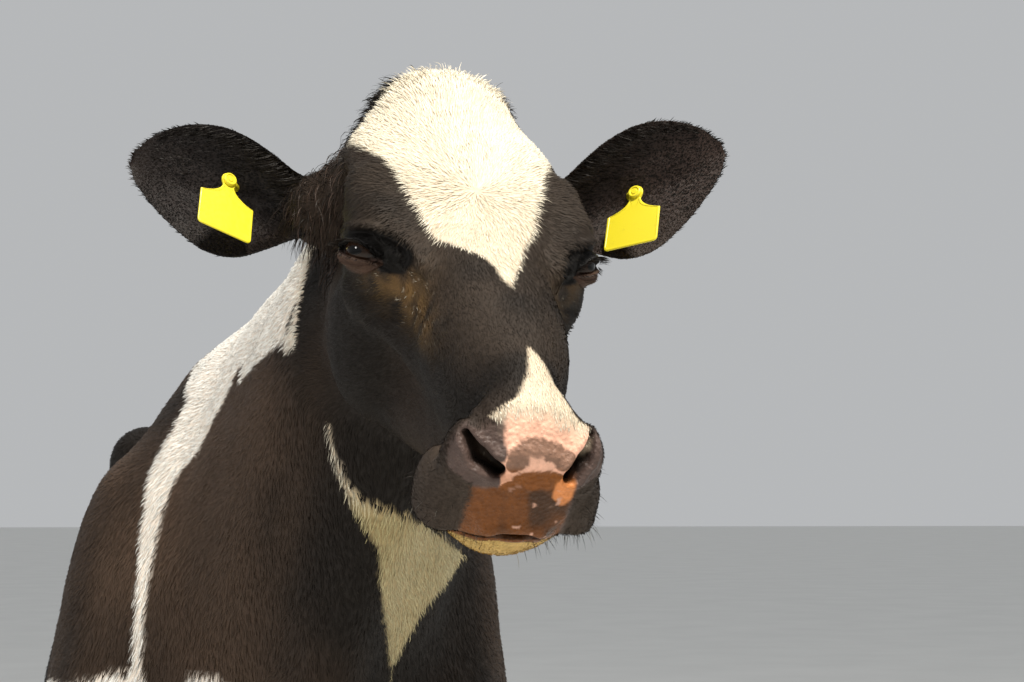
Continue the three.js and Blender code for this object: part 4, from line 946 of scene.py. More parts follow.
# Dark blotches on the muzzle: rows of [side, up, half width, half height].
BLOTCHES = [
    (6, -71, 17, 6), (20, -76, 9, 7), (27, -80, 9, 8), (-10, -80, 9, 9), (10, -97, 21, 9), (-12, -104, 8, 6),
]


def settings():
    return bpy.context.scene.cow


def chosen(name):
    """A colour from the settings."""
    return np.array(getattr(settings(), name))


def bareness(points):
    """1 where the skin is bare: the muzzle, the rims of the lids, and the udder in part."""
    h = into_head(points)
    side, along, up = h[:, 0], -h[:, 1], h[:, 2]
    edge = mix(41, 62, smooth(-106, -92, up)) - np.abs(side) + 1.5 * wander(points, 9, 7)
    height = up - mouth_height(h)
    ahead = smooth(-8, 6, along - 503 + 3 * wander(points, 8, 20))
    bare = ahead * smooth(-3, 3, edge) * smooth(-3, 0, height)
    lower_lip = within(along - 478, 4.0 - np.abs(height + 3))
    bare = np.maximum(bare, smooth(-2, 2, lower_lip))
    for sign in (1, -1):
        a, b, c = eye_place(h, sign).T
        bare = np.where(c > -12, np.maximum(bare, smooth(1.5, 1.3, eye_ring(a, b))), bare)
    bare = bare * (points[:, 1] < FACE_Y)
    return np.maximum(bare, smooth(-14, -5, udder_depth(points)))


def coat_colour(points):
    """The colour of the hair at each place."""
    white = smooth(-2.2, 2.2, white_depth(points))[:, None]
    brown = smooth(0.1, 0.9, wander(points, 150, 9))[:, None] * 0.6
    x, y, z = points.T
    # Browner hair over the right of the neck and shoulders: partly sun-faded hair, partly painted sheen where
    # that side is lit.
    faded = smooth(-520, -400, y) * smooth(330, 60, y) * smooth(820, 980, z)
    faded = faded * smooth(0.9, -0.5, wander(points, 120, 36)) * smooth(90, 30, x)
    brown = np.maximum(brown, faded[:, None])
    h = into_head(points)
    side, along, up = h[:, 0], -h[:, 1], h[:, 2]
    tears = ridge(along, 275, 26) * ridge(up, -60, 19) + 0.7 * ridge(along, 322, 36) * ridge(up, -66, 15)
    tears = tears * (np.abs(side) > 40) * (y < FACE_Y) * np.where(side < 0, 1.0, 0.4)
    flecks = tears * smooth(0.66, 0.8, wander(points, 3.4, 30))
    tears = tears * smooth(-0.9, 0.4, wander(points, 11, 10))
    temple = np.exp(-(((np.abs(side) - 112) / 30) ** 2) - ((along - 92) / 40) ** 2)
    brown = np.maximum(brown, 0.45 * temple[:, None])
    # Painted sheen down the front of the face: its black hair is made paler there.
    front = (y < FACE_Y) * smooth(-84, -50, up) * smooth(455, 430, along) * smooth(24, 60, along)
    front *= smooth(-1.4, 0.4, wander(points, 34, 37)) * smooth(122, 106, np.abs(side))
    dark = mix(mix(chosen("black_coat"), chosen("brown_coat"), brown), FACE_FRONT_SHEEN, 0.85 * front[:, None])
    dark = mix(dark, DUST, 0.9 * tears[:, None])
    dark = mix(dark, chosen("white_coat") * 0.6, flecks[:, None])
    worn = (y < FACE_Y) * smooth(430, 460, along) * smooth(-84, -100, up)
    dark = mix(dark, WORN_COAT, 0.8 * worn[:, None])
    # Round each eye the coat is made darker than black: the lids' dark skin, and painted shade over the socket
    # and the brow's furrow.
    lids, pouch = eye_tones(points, h)
    dark = mix(mix(dark, chosen("black_coat") * 0.4, lids), POUCH_SKIN, 0.7 * pouch)
    cream = mix(chosen("white_coat"), BODY_WHITE, 0.85 * smooth(-490, -430, y)[:, None])
    cream = cream * (1 - 0.09 * smooth(-0.2, 1, wander(points, 60, 11)))[:, None]
    cream = cream * mix(1, FOOT_STAIN, smooth(420, 60, z)[:, None] * 0.7)
    # The white under the chin is made darker and olive-yellow.
    chin = (y < FACE_Y) * smooth(-150, -158, up) * smooth(400, 430, along)
    cream = mix(cream, CHIN_OLIVE, 0.9 * chin[:, None])
    # Painted shade and yellow-green bounce light: the white low on the left of the chest made darker and
    # yellower.
    chest = (y > -520) * smooth(-100, -200, y) * smooth(0, 40, x) * smooth(1300, 1240, z)
    cream = mix(cream, CHEST_SHADE_AND_BOUNCE, 0.85 * chest[:, None])
    return mix(dark, cream, white)


def skin_colour(points, bare):
    """The colour of the skin, which the coat covers except on the muzzle, lids and udder."""
    h = into_head(points)
    side, along, up = h[:, 0], -h[:, 1], h[:, 2]
    under = coat_colour(points) * UNDER_COAT
    wobble = 4 * wander(points, 9, 12) + 1.5 * wander(points, 3.5, 31)
    high = smooth(-108, -104, up + wobble * 0.5)
    rust = 1 - smooth(-106, -102, up + wobble)
    brown = smooth(-0.3, 0.5, wander(points, 16, 33)) * smooth(-18, -8, side)
    low_skin = mix(RUST_SKIN, BROWN_SKIN, brown[:, None])
    muzzle = mix(PINK_SKIN, ORANGE_SKIN, 0.35 * smooth(-84, -98, up)[:, None])
    for middle, height, wide, tall in BLOTCHES:
        r = np.hypot((side - middle + wobble * 0.5) / wide, (up - height + wobble * 0.4) / tall)
        tone = mix(BLOTCH_SKIN, RUST_SKIN * 1.35, smooth(-84, -92, up)[:, None])
        muzzle = mix(muzzle, tone, smooth(1.08, 0.96, r)[:, None])
    muzzle = mix(muzzle, low_skin, rust[:, None])
    orange = np.hypot((side - 32) / 9, (up + 104) / 14) + 0.25 * wander(points, 7, 34)
    muzzle = mix(muzzle, ORANGE_SKIN, smooth(1.1, 0.85, orange)[:, None])
    flecks = smooth(0.58, 0.70, wander(points * [1, 1, 1.6], 6.5, 14)) * rust * smooth(-18, -8, side)
    muzzle = mix(muzzle, PINK_SKIN * 0.75, flecks[:, None])
    outer = mix(37, 47, smooth(-84, -66, up))
    dark = np.maximum(smooth(-19, -23, side + wobble) * high, smooth(outer, outer + 4, side + wobble * 0.4))
    muzzle = mix(muzzle, DARK_SKIN, dark[:, None])
    # Painted shade: the inside of each nostril is painted near black.
    for sign in (1, -1):
        pit = nostril_distance(h, sign)[0]
        inside = smooth(1.2, -1.8, pit) * (along > 466) * (side * sign > 0) * smooth(-62, -76, up)
        muzzle = mix(muzzle, chosen("black_coat") * 0.5, inside[:, None])
    # The lids' dark skin, spread over the socket and the brow's furrow as painted shade, darkens the bare skin
    # and the skin under the coat.
    lids, pouch = eye_tones(points, h)
    muzzle = mix(mix(muzzle, chosen("black_coat") * 0.4, lids), POUCH_SKIN, pouch)
    under = mix(mix(under, chosen("black_coat") * 0.4, lids), POUCH_SKIN, 0.8 * pouch)
    # Painted shade: the line between the lips is darkened.
    gap = np.abs(up - mouth_height(h)) < 3.2
    muzzle = np.where(gap[:, None], muzzle * 0.35, muzzle)
    udder_skin = UDDER_PINK * (1 - 0.1 * wander(points, 40, 15))[:, None]
    bare_skin = np.where(points[:, 1:2] > 700, udder_skin, muzzle)
    return mix(under, bare_skin, bare[:, None])


# ---------- how the hair lies ----------
WHORL = 195  # how far down the forehead the hairs part


def head_share(y, along, up):
    """1 on the head, fading to 0 behind the poll and under the throat."""
    return smooth(-20, 40, along) * (y < HEAD_Y) * smooth(-330, -250, up)


def lie_of(points, normals):
    """The way each hair points, along the surface."""
    x, y, z = points.T
    h = into_head(points)
    side, along, up = h[:, 0], -h[:, 1], h[:, 2]
    lie = np.tile([0, 0.85, -0.52], (len(points), 1))
    front = smooth(-0.35, -0.75, normals[:, 1])
    low = np.maximum(smooth(820, 620, z), smooth(1490, 1520, y) * (z < 1340))
    lie = mix(lie, np.array([0, 0.12, -1.0]), np.maximum(front, low)[:, None])
    top = smooth(0.6, 0.85, normals[:, 2])
    lie = mix(lie, np.array([0, 1, -0.15]), (top * (1 - low))[:, None])
    belly = smooth(-0.5, -0.8, normals[:, 2]) * (z > 500)
    lie = mix(lie, np.stack([-0.5 * np.sign(x), np.ones_like(x), np.zeros_like(x)], 1), belly[:, None])
    # the face: down from the whorl to the muzzle, up from it to the poll, and back over the cheeks
    radial = np.stack([side * 0.9, -(along - WHORL), np.zeros_like(side)], 1)
    radial /= np.maximum(np.linalg.norm(radial, axis=1, keepdims=True), 8)
    cheek = smooth(-44, -96, up) * smooth(460, 400, along)
    facial = mix(radial, np.array([0, 0.82, -0.5]), cheek[:, None])
    is_head = head_share(y, along, up)
    lie = mix(lie, facial @ HEAD_AXES.T, is_head[:, None])
    return lie - normals * (lie * normals).sum(1, keepdims=True)


def turn_about(vectors, axes, angles):
    """Each vector turned about its axis."""
    c, s = np.cos(angles)[:, None], np.sin(angles)[:, None]
    return vectors * c + np.cross(axes, vectors) * s + axes * (vectors * axes).sum(1, keepdims=True) * (1 - c)


def coat_form(points):
    """The length, width and spacing of the tufts at each place."""
    _, y, z = points.T
    h = into_head(points)
    along, up = -h[:, 1], h[:, 2]
    is_head = head_share(y, along, up)
    length = np.full(len(points), 11.0)
    length += 3 * smooth(-0.1, 0.8, wander(points, 200, 16))
    length = mix(length, 8.5, smooth(640, 420, z))
    length = mix(length, 14, smooth(1490, 1520, y) * (z < 1300))
    facial = mix(10.0, 4.6, smooth(120, 480, along)) + 3 * smooth(120, 20, along)
    for sign in (1, -1):
        a, b, c = eye_place(h, sign).T
        by_eye = mix(3.0, facial, smooth(1.2, 5.0, eye_ring(a, b)))
        facial = np.where(c > -12, np.minimum(facial, by_eye), facial)
    length = mix(length, facial, is_head)
    width = mix(np.full(len(points), 1.5), 0.85, is_head)
    width = mix(width, 1.25, (y < -100) * (1 - is_head))
    spacing = np.full(len(points), 4.5)
    spacing = mix(spacing, 3.45, smooth(300, -60, y) * (z > 780))
    spacing = mix(spacing, 2.15, is_head)
    bag = udder_depth(points)
    spacing = np.where(bag > -14, 9.0, spacing)
    length = np.where(bag > -14, 7.0, length)
    return length, width, spacing


def roots_on(mesh, draws, first_points=None, spacing=None):
    """Places and normals of roots spread over a mesh, or its first points, at the coat's spacing."""
    mesh.calc_loop_triangles()
    corners = np.empty(len(mesh.loop_triangles) * 3, np.int32)
    mesh.loop_triangles.foreach_get("vertices", corners)
    corners = corners.reshape(-1, 3)
    if first_points:
        corners = corners[corners.max(1) < first_points]
    points, normals = points_of(mesh), normals_of(mesh)
    a, b, c = (points[corners[:, m]] for m in range(3))
    area = np.linalg.norm(np.cross(b - a, c - a), axis=1) / 2
    spacing = spacing or coat_form((a + b + c) / 3)[2]
    reached = np.cumsum(area / spacing**2) + draws.random()
    count = np.floor(reached) - np.concatenate([[0], np.floor(reached)[:-1]])
    face = np.repeat(np.arange(len(corners)), count.astype(int))
    u, v = draws.random((2, len(face)))
    u, v = np.where(u + v > 1, 1 - u, u), np.where(u + v > 1, 1 - v, v)
    weights = np.stack([1 - u - v, u, v], 1)
    root = sum(points[corners[face, m]] * weights[:, m : m + 1] for m in range(3))
    normal = sum(normals[corners[face, m]] * weights[:, m : m + 1] for m in range(3))
    return root, normal / np.maximum(np.linalg.norm(normal, axis=1, keepdims=True), 1e-6)


def chart(points):
    """A place on an unwrap of the body, part by part: how far round its axis and how far along it."""
    x, y, z = points.T
    h = into_head(points)
    round_trunk, along_trunk = np.arctan2(x, z - 950) / math.tau + 0.5, (y + 350) / 2000
    u, v = round_trunk, along_trunk
    is_leg = (z < 760) & (y < 1480)
    leg = (x > 0) * 0.25 + (y > 500) * 0.5
    middle_y = np.where(y > 500, 1340, 0)
    u = np.where(is_leg, leg + 0.25 * (np.arctan2(np.abs(x) - 148, y - middle_y) / math.tau + 0.5), u)
    v = np.where(is_leg, z / 800, v)
    is_tail = (y > 1486) & (z < 1340)
    u = np.where(is_tail, np.arctan2(x + 10, y - 1532) / math.tau + 0.5, u)
    v = np.where(is_tail, z / 1400, v)
    p = points - NECK_LOW
    is_neck = (p @ NECK_ALONG > 60) & (z > 900)
    u = np.where(is_neck, np.arctan2(p @ NECK_ACROSS, p @ NECK_UP) / math.tau + 0.5, u)
    v = np.where(is_neck, (p @ NECK_ALONG) / 1000, v)
    is_head = (y < HEAD_Y) & (h[:, 1] < 20)
    u = np.where(is_head, np.arctan2(h[:, 0], h[:, 2] + 110) / math.tau + 0.5, u)
    v = np.where(is_head, (-h[:, 1] + 30) / 580, v)
    return np.stack([u, v], 1)


PATCH = 0.003  # side of each tuft's patch of the unwrap
# Painted shade along each tuft: darker towards its root, where the tufts cover each other.
BLADE_SHADE = np.array([0.80, 0.80, 0.97, 0.97, 1.08])  # of a tuft's five points, from root to tip


def coat_piece(name, root, normal, lie, material, draws, size=None, colour=None):
    """Thin tapering tufts that overlap and lie along the body, each a blade of three triangles."""
    length, width = size or coat_form(root)[:2]
    n = len(root)
    length = length * mix(0.75, 1.2, draws.random(n)) * settings().coat_length
    width = width * mix(0.7, 1.25, draws.random(n))
    side = np.cross(normal, lie)
    side = turn_about(side, lie, draws.normal(0, 0.22, n))
    lift = (0.11 + 0.05 * wander(root, 18, 17) + draws.normal(0, 0.03, n)) * length
    bend = side * (draws.normal(0, 0.10, n) * length)[:, None]
    low = root - normal * 0.5
    middle = root + lie * (0.5 * length)[:, None] + normal * (lift * 0.85)[:, None] + bend * 0.3
    tip = root + lie * (0.98 * length)[:, None] + normal * (lift * 0.9)[:, None] + bend
    half = side * (width / 2)[:, None]
    blade = np.stack([low - half, low + half, middle - 0.85 * half, middle + 0.85 * half, tip], 1)
    first = np.arange(n)[:, None] * 5
    faces = np.concatenate([first + [1, 0, 2], first + [1, 2, 3], first + [3, 2, 4]], 1).reshape(-1, 3)
    mesh = mesh_of(name, blade.reshape(-1, 3), faces)
    near = root + draws.normal(0, 0.8, root.shape)
    colour = coat_colour(near) if colour is None else colour
    shade = BLADE_SHADE[None, :, None] * mix(0.86, 1.12, draws.random(n))[:, None, None]
    paint(mesh, (colour[:, None] * shade).reshape(-1, 3))
    tilt = draws.normal(0, 0.13, (n, 1)) * np.cross(normal, lie) + draws.normal(0, 0.06, (n, 1)) * lie
    shown = normal + tilt
    shown /= np.linalg.norm(shown, axis=1, keepdims=True)
    mesh.normals_split_custom_set_from_vertices(np.repeat(shown, 5, axis=0))
    place = chart(root)
    corner = np.array([[-0.5, -0.5], [0.5, -0.5], [-0.4, 0.1], [0.4, 0.1], [0, 0.5]]) * PATCH
    uv = np.clip(mix(0.004, 0.996, place), 0.004, 0.996)[:, None] + corner
    layer = mesh.uv_layers.new(name="OFBake")
    layer.data.foreach_set("uv", uv.reshape(-1, 2)[faces.ravel()].astype(np.float32).ravel())
    return finish_object(name, mesh, material)


def paint(mesh, colours):
    """Keeps a colour for each point of a mesh, which its material reads."""
    layer = mesh.attributes.new("colour", "FLOAT_COLOR", "POINT")
    values = np.concatenate([np.clip(colours, 0, 1), np.ones((len(colours), 1))], 1)
    layer.data.foreach_set("color", values.astype(np.float32).ravel())


def note(mesh, values, name):
    """Keeps a number for each point of a mesh, which its material reads."""
    mesh.attributes.new(name, "FLOAT", "POINT").data.foreach_set("value", values.astype(np.float32))


# ---------- materials ----------
HORN = {"dark": (0.045, 0.034, 0.027), "pale": (0.20, 0.15, 0.10), "tubes": (0.11, 0.085, 0.065)}
GRIME = (0.30, 0.23, 0.03)


class Finish:
    """A node material under construction, with its shader ready."""

    def __init__(self, name, roughness, **sockets):
        self.material = bpy.data.materials.new(name)
        self.material.use_nodes = True
        self.tree = self.material.node_tree
        self.shader = self.tree.nodes["Principled BSDF"]
        self.shader.inputs["Roughness"].default_value = roughness
        for socket, value in sockets.items():
            self.shader.inputs[socket.replace("_", " ")].default_value = value

    def node(self, kind, links=(), **sockets):
        made = self.tree.nodes.new(kind)
        for socket, value in sockets.items():
            made.inputs[socket.replace("_", " ")].default_value = value
        for socket, source in dict(links).items():
            self.tree.links.new(source, made.inputs[socket])
        return made

    def read(self, attribute):
        made = self.tree.nodes.new("ShaderNodeAttribute")
        made.attribute_name = attribute
        return made

    def place(self, stretch=(1, 1, 1)):
        """Where a point is on the object, in metres, squeezed along the axes."""
        source = self.tree.nodes.new("ShaderNodeTexCoord").outputs["Object"]
        return self.node("ShaderNodeMapping", {"Vector": source}, Scale=stretch).outputs["Vector"]

    def noise(self, scale, stretch=(1, 1, 1), detail=3.0, roughness=0.55):
        made = self.node("ShaderNodeTexNoise", {"Vector": self.place(stretch)}, Scale=scale, Detail=detail)
        made.inputs["Roughness"].default_value = roughness
        return made.outputs["Fac"]

    def spread(self, value, low, high, into=(0.0, 1.0)):
        """A value between low and high, spread over the range into."""
        made = self.node("ShaderNodeMapRange", {"Value": value}, From_Min=low, From_Max=high)
        made.inputs["To Min"].default_value, made.inputs["To Max"].default_value = into
        return made.outputs["Result"]

    def combine(self, operation, first, second):
        made = self.tree.nodes.new("ShaderNodeMath")
        made.operation = operation
        for slot, value in zip(made.inputs, (first, second)):
            if isinstance(value, (int, float)):
                slot.default_value = value
            else:
                self.tree.links.new(value, slot)
        return made.outputs["Value"]

    def blend(self, amount, first, second, how="MIX"):
        made = self.tree.nodes.new("ShaderNodeMix")
        made.data_type, made.blend_type = "RGBA", how
        for socket, value in ((made.inputs[0], amount), (made.inputs[6], first), (made.inputs[7], second)):
            if isinstance(value, bpy.types.NodeSocket):
                self.tree.links.new(value, socket)
            else:
                socket.default_value = value
        return made.outputs[2]

    def send(self, socket, value):
        self.tree.links.new(value, self.shader.inputs[socket])

    def bump(self, height, distance, strength=1.0):
        made = self.node("ShaderNodeBump", {"Height": height}, Distance=distance, Strength=strength)
        self.send("Normal", made.outputs["Normal"])


def rgba(colour):
    return (*colour[:3], 1.0)


def skin_material():
    finish = Finish("hide_and_bare_skin", 0.6, Specular_IOR_Level=0.2)
    bare = finish.read("bare").outputs["Fac"]
    mottle = finish.spread(finish.noise(160), 0.3, 0.7, (0.82, 1.12))
    colour = finish.blend(1.0, finish.read("colour").outputs["Color"], mottle, "MULTIPLY")
    finish.send("Base Color", colour)
    wet = finish.spread(finish.noise(90, detail=4.0), 0.35, 0.65, (0.24, 0.46))
    rough = finish.node("ShaderNodeMix", {"Factor": bare, "B": wet}, A=0.66)
    finish.send("Roughness", rough.outputs[0])
    pebbles = finish.node("ShaderNodeTexVoronoi", {"Vector": finish.place()}, Scale=330.0)
    pebbles.feature = "SMOOTH_F1"
    grain = finish.combine("MULTIPLY", pebbles.outputs["Distance"], bare)
    hair = finish.combine("MULTIPLY", finish.noise(1400), 0.6)
    finish.bump(finish.combine("SUBTRACT", hair, finish.combine("MULTIPLY", grain, 1.6)), 0.0009, 0.9)
    return finish.material


def coat_material():
    finish = Finish("short_coat", 0.5, Specular_IOR_Level=0.1)
    streaks = finish.spread(finish.noise(1500, detail=2.0), 0.3, 0.7, (0.84, 1.14))
    patches = finish.spread(finish.noise(38), 0.3, 0.7, (0.9, 1.08))
    colour = finish.blend(1.0, finish.read("colour").outputs["Color"], streaks, "MULTIPLY")
    finish.send("Base Color", finish.blend(1.0, colour, patches, "MULTIPLY"))
    finish.send("Roughness", finish.spread(finish.noise(60), 0.3, 0.7, (0.48, 0.62)))
    finish.bump(finish.noise(2600, detail=1.0), 0.0003, 0.5)
    return finish.material


def hair_material():
    finish = Finish("strand_hair", 0.48, Specular_IOR_Level=0.14)
    streaks = finish.spread(finish.noise(700, (1, 1, 0.2), 2.0), 0.3, 0.7, (0.72, 1.15))
    finish.send("Base Color", finish.blend(1.0, finish.read("colour").outputs["Color"], streaks, "MULTIPLY"))
    finish.bump(finish.noise(1600, (1, 1, 0.15), 1.0), 0.0003, 0.6)
    return finish.material


def eye_material():
    finish = Finish("wet_eye", 0.05, IOR=1.32)
    fibres = finish.spread(finish.noise(900, detail=4.0), 0.3, 0.7, (0.6, 1.3))
    finish.send("Base Color", finish.blend(1.0, finish.read("colour").outputs["Color"], fibres, "MULTIPLY"))
    return finish.material


def horn_material():
    finish = Finish("hoof_horn", 0.42, Specular_IOR_Level=0.45)
    tubes = finish.noise(420, (1, 1, 0.08), 3.0)
    stain = finish.spread(finish.noise(24, (1, 1, 0.5)), 0.35, 0.65)
    horn = finish.blend(stain, rgba(HORN["dark"]), rgba(HORN["pale"]))
    finish.send("Base Color", finish.blend(finish.spread(tubes, 0.35, 0.7), horn, rgba(HORN["tubes"])))
    finish.send("Roughness", finish.spread(finish.noise(70), 0.3, 0.7, (0.34, 0.58)))
    rings = finish.noise(150, (0.15, 0.15, 1), 2.0)
    finish.bump(finish.combine("ADD", rings, finish.combine("MULTIPLY", tubes, 0.5)), 0.0012, 0.7)
    return finish.material


def tag_material(colour):
    finish = Finish("tag_plastic", 0.36, Specular_IOR_Level=0.5)
    grime = finish.spread(finish.noise(70, detail=5.0, roughness=0.7), 0.58, 0.80, (0.0, 0.5))
    finish.send("Base Color", finish.blend(grime, rgba(colour), rgba(GRIME)))
    finish.send("Roughness", finish.spread(finish.noise(240), 0.3, 0.7, (0.3, 0.46)))
    finish.bump(finish.noise(1100, detail=2.0), 0.0002, 0.5)
    return finish.material


def floor_material(colour):
    finish = Finish("floor", 0.75)
    clouding = finish.spread(finish.noise(1.5), 0.3, 0.7, (0.97, 1.03))
    finish.send("Base Color", finish.blend(1.0, rgba(colour), clouding, "MULTIPLY"))
    return finish.material


# ---------- eyes ----------
EYE_BROWN = np.array([0.022, 0.010, 0.005])
EYE_PUPIL = np.array([0.002, 0.002, 0.002])
EYE_WHITE = np.array([0.14, 0.10, 0.08])


def eyeball(side, rings=56, sectors=72):
    """A ball with a raised clear front, a wide dark iris and a pupil that lies level."""
    v, u = np.meshgrid(np.linspace(0, math.pi, rings), np.arange(sectors) * math.tau / sectors, indexing="ij")
    a, b, c = np.sin(v) * np.cos(u), np.sin(v) * np.sin(u), np.cos(v)
    away = np.hypot(a / 0.74, b / 0.62)
    raised = EYE_RADIUS * (0.985 + 0.05 * smooth(1.05, 0.2, away) * (c > 0))
    local = np.stack([a * raised, b * raised, c * raised], -1).reshape(-1, 3)
    iris = smooth(1.04, 0.94, away) * (c > 0)
    pupil = smooth(1.1, 0.9, np.hypot(a / 0.36, b / 0.19)) * (c > 0)
    colour = mix(EYE_WHITE, EYE_BROWN, iris[..., None])
    colour = colour * (1 - 0.55 * np.exp(-(((away - 0.98) / 0.08) ** 2)))[..., None]
    colour = mix(colour, EYE_PUPIL, pupil[..., None])
    ring, j = np.divmod(np.arange((rings - 1) * sectors), sectors)
    k = (j + 1) % sectors
    here, beyond = ring * sectors, (ring + 1) * sectors
    quads = np.stack([here + j, beyond + j, beyond + k, here + k], 1)
    if side < 0:
        quads = quads[:, ::-1]
    mesh = mesh_of("eyeball", out_of_head(from_eye(local, side)), quads)
    paint(mesh, colour.reshape(-1, 3))
    return mesh


# ---------- strands of hair ----------
def strands(name, paths, widths, colours, draws, root_shade=0.6):
    """Flat ribbons that taper along paths, given as strands of points."""
    n, steps, _ = paths.shape
    t = np.linspace(0, 1, steps)
    tangent = np.gradient(paths, axis=1)
    across = np.cross(tangent, draws.normal(0, 1, (n, 1, 3)))
    across /= np.maximum(np.linalg.norm(across, axis=2, keepdims=True), 1e-9)
    half = across * (widths[:, None] / 2 * np.sin(np.pi * mix(0.32, 0.985, t))[None])[..., None]
    points = np.stack([paths - half, paths + half], 2).reshape(n, -1, 3)
    rung = np.arange(steps - 1)[:, None] * 2 + [0, 1, 3, 2]
    faces = (np.arange(n)[:, None, None] * steps * 2 + rung).reshape(-1, 4)
    mesh = mesh_of(name, points.reshape(-1, 3), faces)
    # Painted shade along each strand: darker towards its root, where the hairs cover each other.
    shade = mix(root_shade, 1.1, smooth(0, 0.5, t))[None, :, None, None]
    shade = shade * draws.uniform(0.82, 1.12, (n, 1, 1, 1))
    paint(mesh, (np.asarray(colours)[:, None, None] * shade * np.ones((1, 1, 2, 1))).reshape(-1, 3))
    return mesh


def falling(roots, first, then, length, steps, curl, draws):
    """Paths that leave their roots one way and bend over into another."""
    t = np.linspace(0, 1, steps)[None, :, None]
    heading = first[:, None] * (1 - t) ** 1.5 + then[:, None] * (1 - (1 - t) ** 1.5)
    heading = heading / np.maximum(np.linalg.norm(heading, axis=2, keepdims=True), 1e-6)
    phase = draws.uniform(0, math.tau, (len(roots), 1, 3))
    heading = heading + curl * np.sin(phase + t * draws.uniform(3, 8, (len(roots), 1, 1)))
    step = heading * (length[:, None, None] / (steps - 1))
    return roots[:, None] + np.cumsum(np.concatenate([np.zeros_like(step[:, :1]), step[:, :-1]], 1), 1)


# ---------- hooves ----------
# The sole of an outer claw: rows of [outward, forward].
CLAW_PLAN = np.array([
    [2.5, -46], [2.5, 30], [6, 58], [16, 70], [30, 62], [44, 38], [52, 8], [53, -22], [44, -48], [24, -58],
], float)


CLAW_RISES = (0, 0.012, 0.04, 0.1, 0.2, 0.3, 0.4, 0.5, 0.6, 0.7, 0.8, 0.88, 0.95, 1.0)


def rounded_plan(plan, steps=6):
    """A closed outline through a few corners, smoothed but held inside them."""
    n = len(plan)
    points = []
    for i in range(n):
        p0, p1, p2, p3 = (plan[(i + k) % n] for k in (-1, 0, 1, 2))
        for t in np.arange(steps) / steps:
            bend = 2 * p0 - 5 * p1 + 4 * p2 - p3
            twist = 3 * p1 - p0 - 3 * p2 + p3
            points.append(0.5 * ((2 * p1) + (p2 - p0) * t + bend * t * t + twist * t**3))
    return np.clip(np.array(points), plan.min(0), plan.max(0))


def lofted(rings):
    """Squares over rings of points of the same length, with a fan over each end."""
    count, n, _ = rings.shape
    points = np.concatenate([rings.reshape(-1, 3), rings[[0, -1]].mean(1)])
    i, last = np.arange(n), (count - 1) * n
    low = np.stack([(i + 1) % n, i, np.full(n, len(points) - 2)], 1)
    high = np.stack([i + last, (i + 1) % n + last, np.full(n, len(points) - 1)], 1)
    return points, [ring_quads(count, n), low, high]


def claw_net(foot, outward, side):
    """A claw that draws in towards its top, with the faint rings of its growth."""
    plan = rounded_plan(CLAW_PLAN)
    middle = plan.mean(0)
    rings = []
    for rise in CLAW_RISES:
        grow = 1 - 0.035 * smooth(0.05, 0, rise) - 0.10 * smooth(0.86, 1.0, rise)
        grow += 0.006 * math.sin(rise * 31)
        out, forward = ((plan - middle) * grow + middle).T
        x = (foot[0] + outward * mix(out, out * 0.9 + 0.25, rise)) * side
        y = foot[1] - mix(forward, forward * 0.84 - 5, rise)
        rings.append(np.stack([x, y, np.full(len(x), rise * (HOOF_HEIGHT - 0.6))], 1))
    return lofted(np.array(rings))


def dewclaw_net(foot, back, outward, side):
    """A small blunt cone behind the pastern, pointing down and back."""
    root = np.array([(foot[0] + outward * 20) * side, back - 14, 128.0])
    tip = np.array([(foot[0] + outward * 24) * side, back + 11.0, 99.0])
    along = unit(tip - root)
    wide = unit(np.cross(along, [0, 0, 1.0]))
    high = np.cross(wide, along)
    rings = []
    for t in np.linspace(0, 1, 9):
        r = 15 * mix(1, 0.44, t**1.6) * math.sqrt(max(1 - (max(t - 0.8, 0) / 0.21) ** 2, 0.02))
        turn = np.arange(20) * math.tau / 20
        ring = root + (tip - root) * t + np.outer(np.cos(turn) * r, wide)
        rings.append(ring + np.outer(np.sin(turn) * r * 0.8, high))
    return lofted(np.array(rings))


def joined_mesh(name, nets):
    """One mesh of several separate nets, each facing outward."""
    bm = bmesh.new()
    for points, faces in nets:
        part = mesh_of("part", points, faces)
        bm.from_mesh(part)
        bpy.data.meshes.remove(part)
    bmesh.ops.recalc_face_normals(bm, faces=bm.faces)
    mesh = bpy.data.meshes.new(name)
    bm.to_mesh(mesh)
    bm.free()
    return mesh


# ---------- ear tags ----------
TAG = {"half_width": 29, "shoulder": 23, "bottom": 62, "corner": 4, "thick": 2, "boss": 7, "pin": 4.4}
# The boss on the plate and the button behind the ear: rows of [radius, forward].
BOSS_PROFILE = [
    (3, 1), (7, 1.2), (7, 3.6), (6.4, 4.6), (5.8, 5), (4.8, 5), (4.2, 4.2), (3.2, 4.2), (2.7, 4.9), (0.6, 5),
]
BUTTON_PROFILE = [(6, -24.0), (12.4, -23.8), (13, -23.2), (13, -22.0), (12.2, -21.2), (5, -21)]


def tag_outline():
    """The plate seen from ahead: a narrow neck round the pin, shoulders, and a plate with round corners."""
    w, shoulder, bottom, boss = TAG["half_width"], TAG["shoulder"], TAG["bottom"], TAG["boss"]
    turn = np.linspace(-math.pi / 4, math.pi, 13)[:11]
    head_arc = np.stack([np.cos(turn), np.sin(turn)], 1) * boss * 1.13
    head_arc = head_arc[head_arc[:, 0] >= -1e-6]
    s = np.linspace(0, 1, 7)[1:, None]
    start, bend, end = np.array([[boss * 0.8, -boss * 0.8], [boss, -shoulder * 0.75], [w, -shoulder]])
    plate_neck = start * (1 - s) ** 2 + bend * 2 * s * (1 - s) + end * s**2
    quarter, r = -np.linspace(0, math.pi / 2, 6), TAG["corner"]
    corner = np.array([[w - r, r - bottom]]) + r * np.stack([np.cos(quarter), np.sin(quarter)], 1)
    right = np.concatenate([head_arc[::-1], plate_neck, corner])
    return np.concatenate([right, (right * [-1, 1])[::-1]])


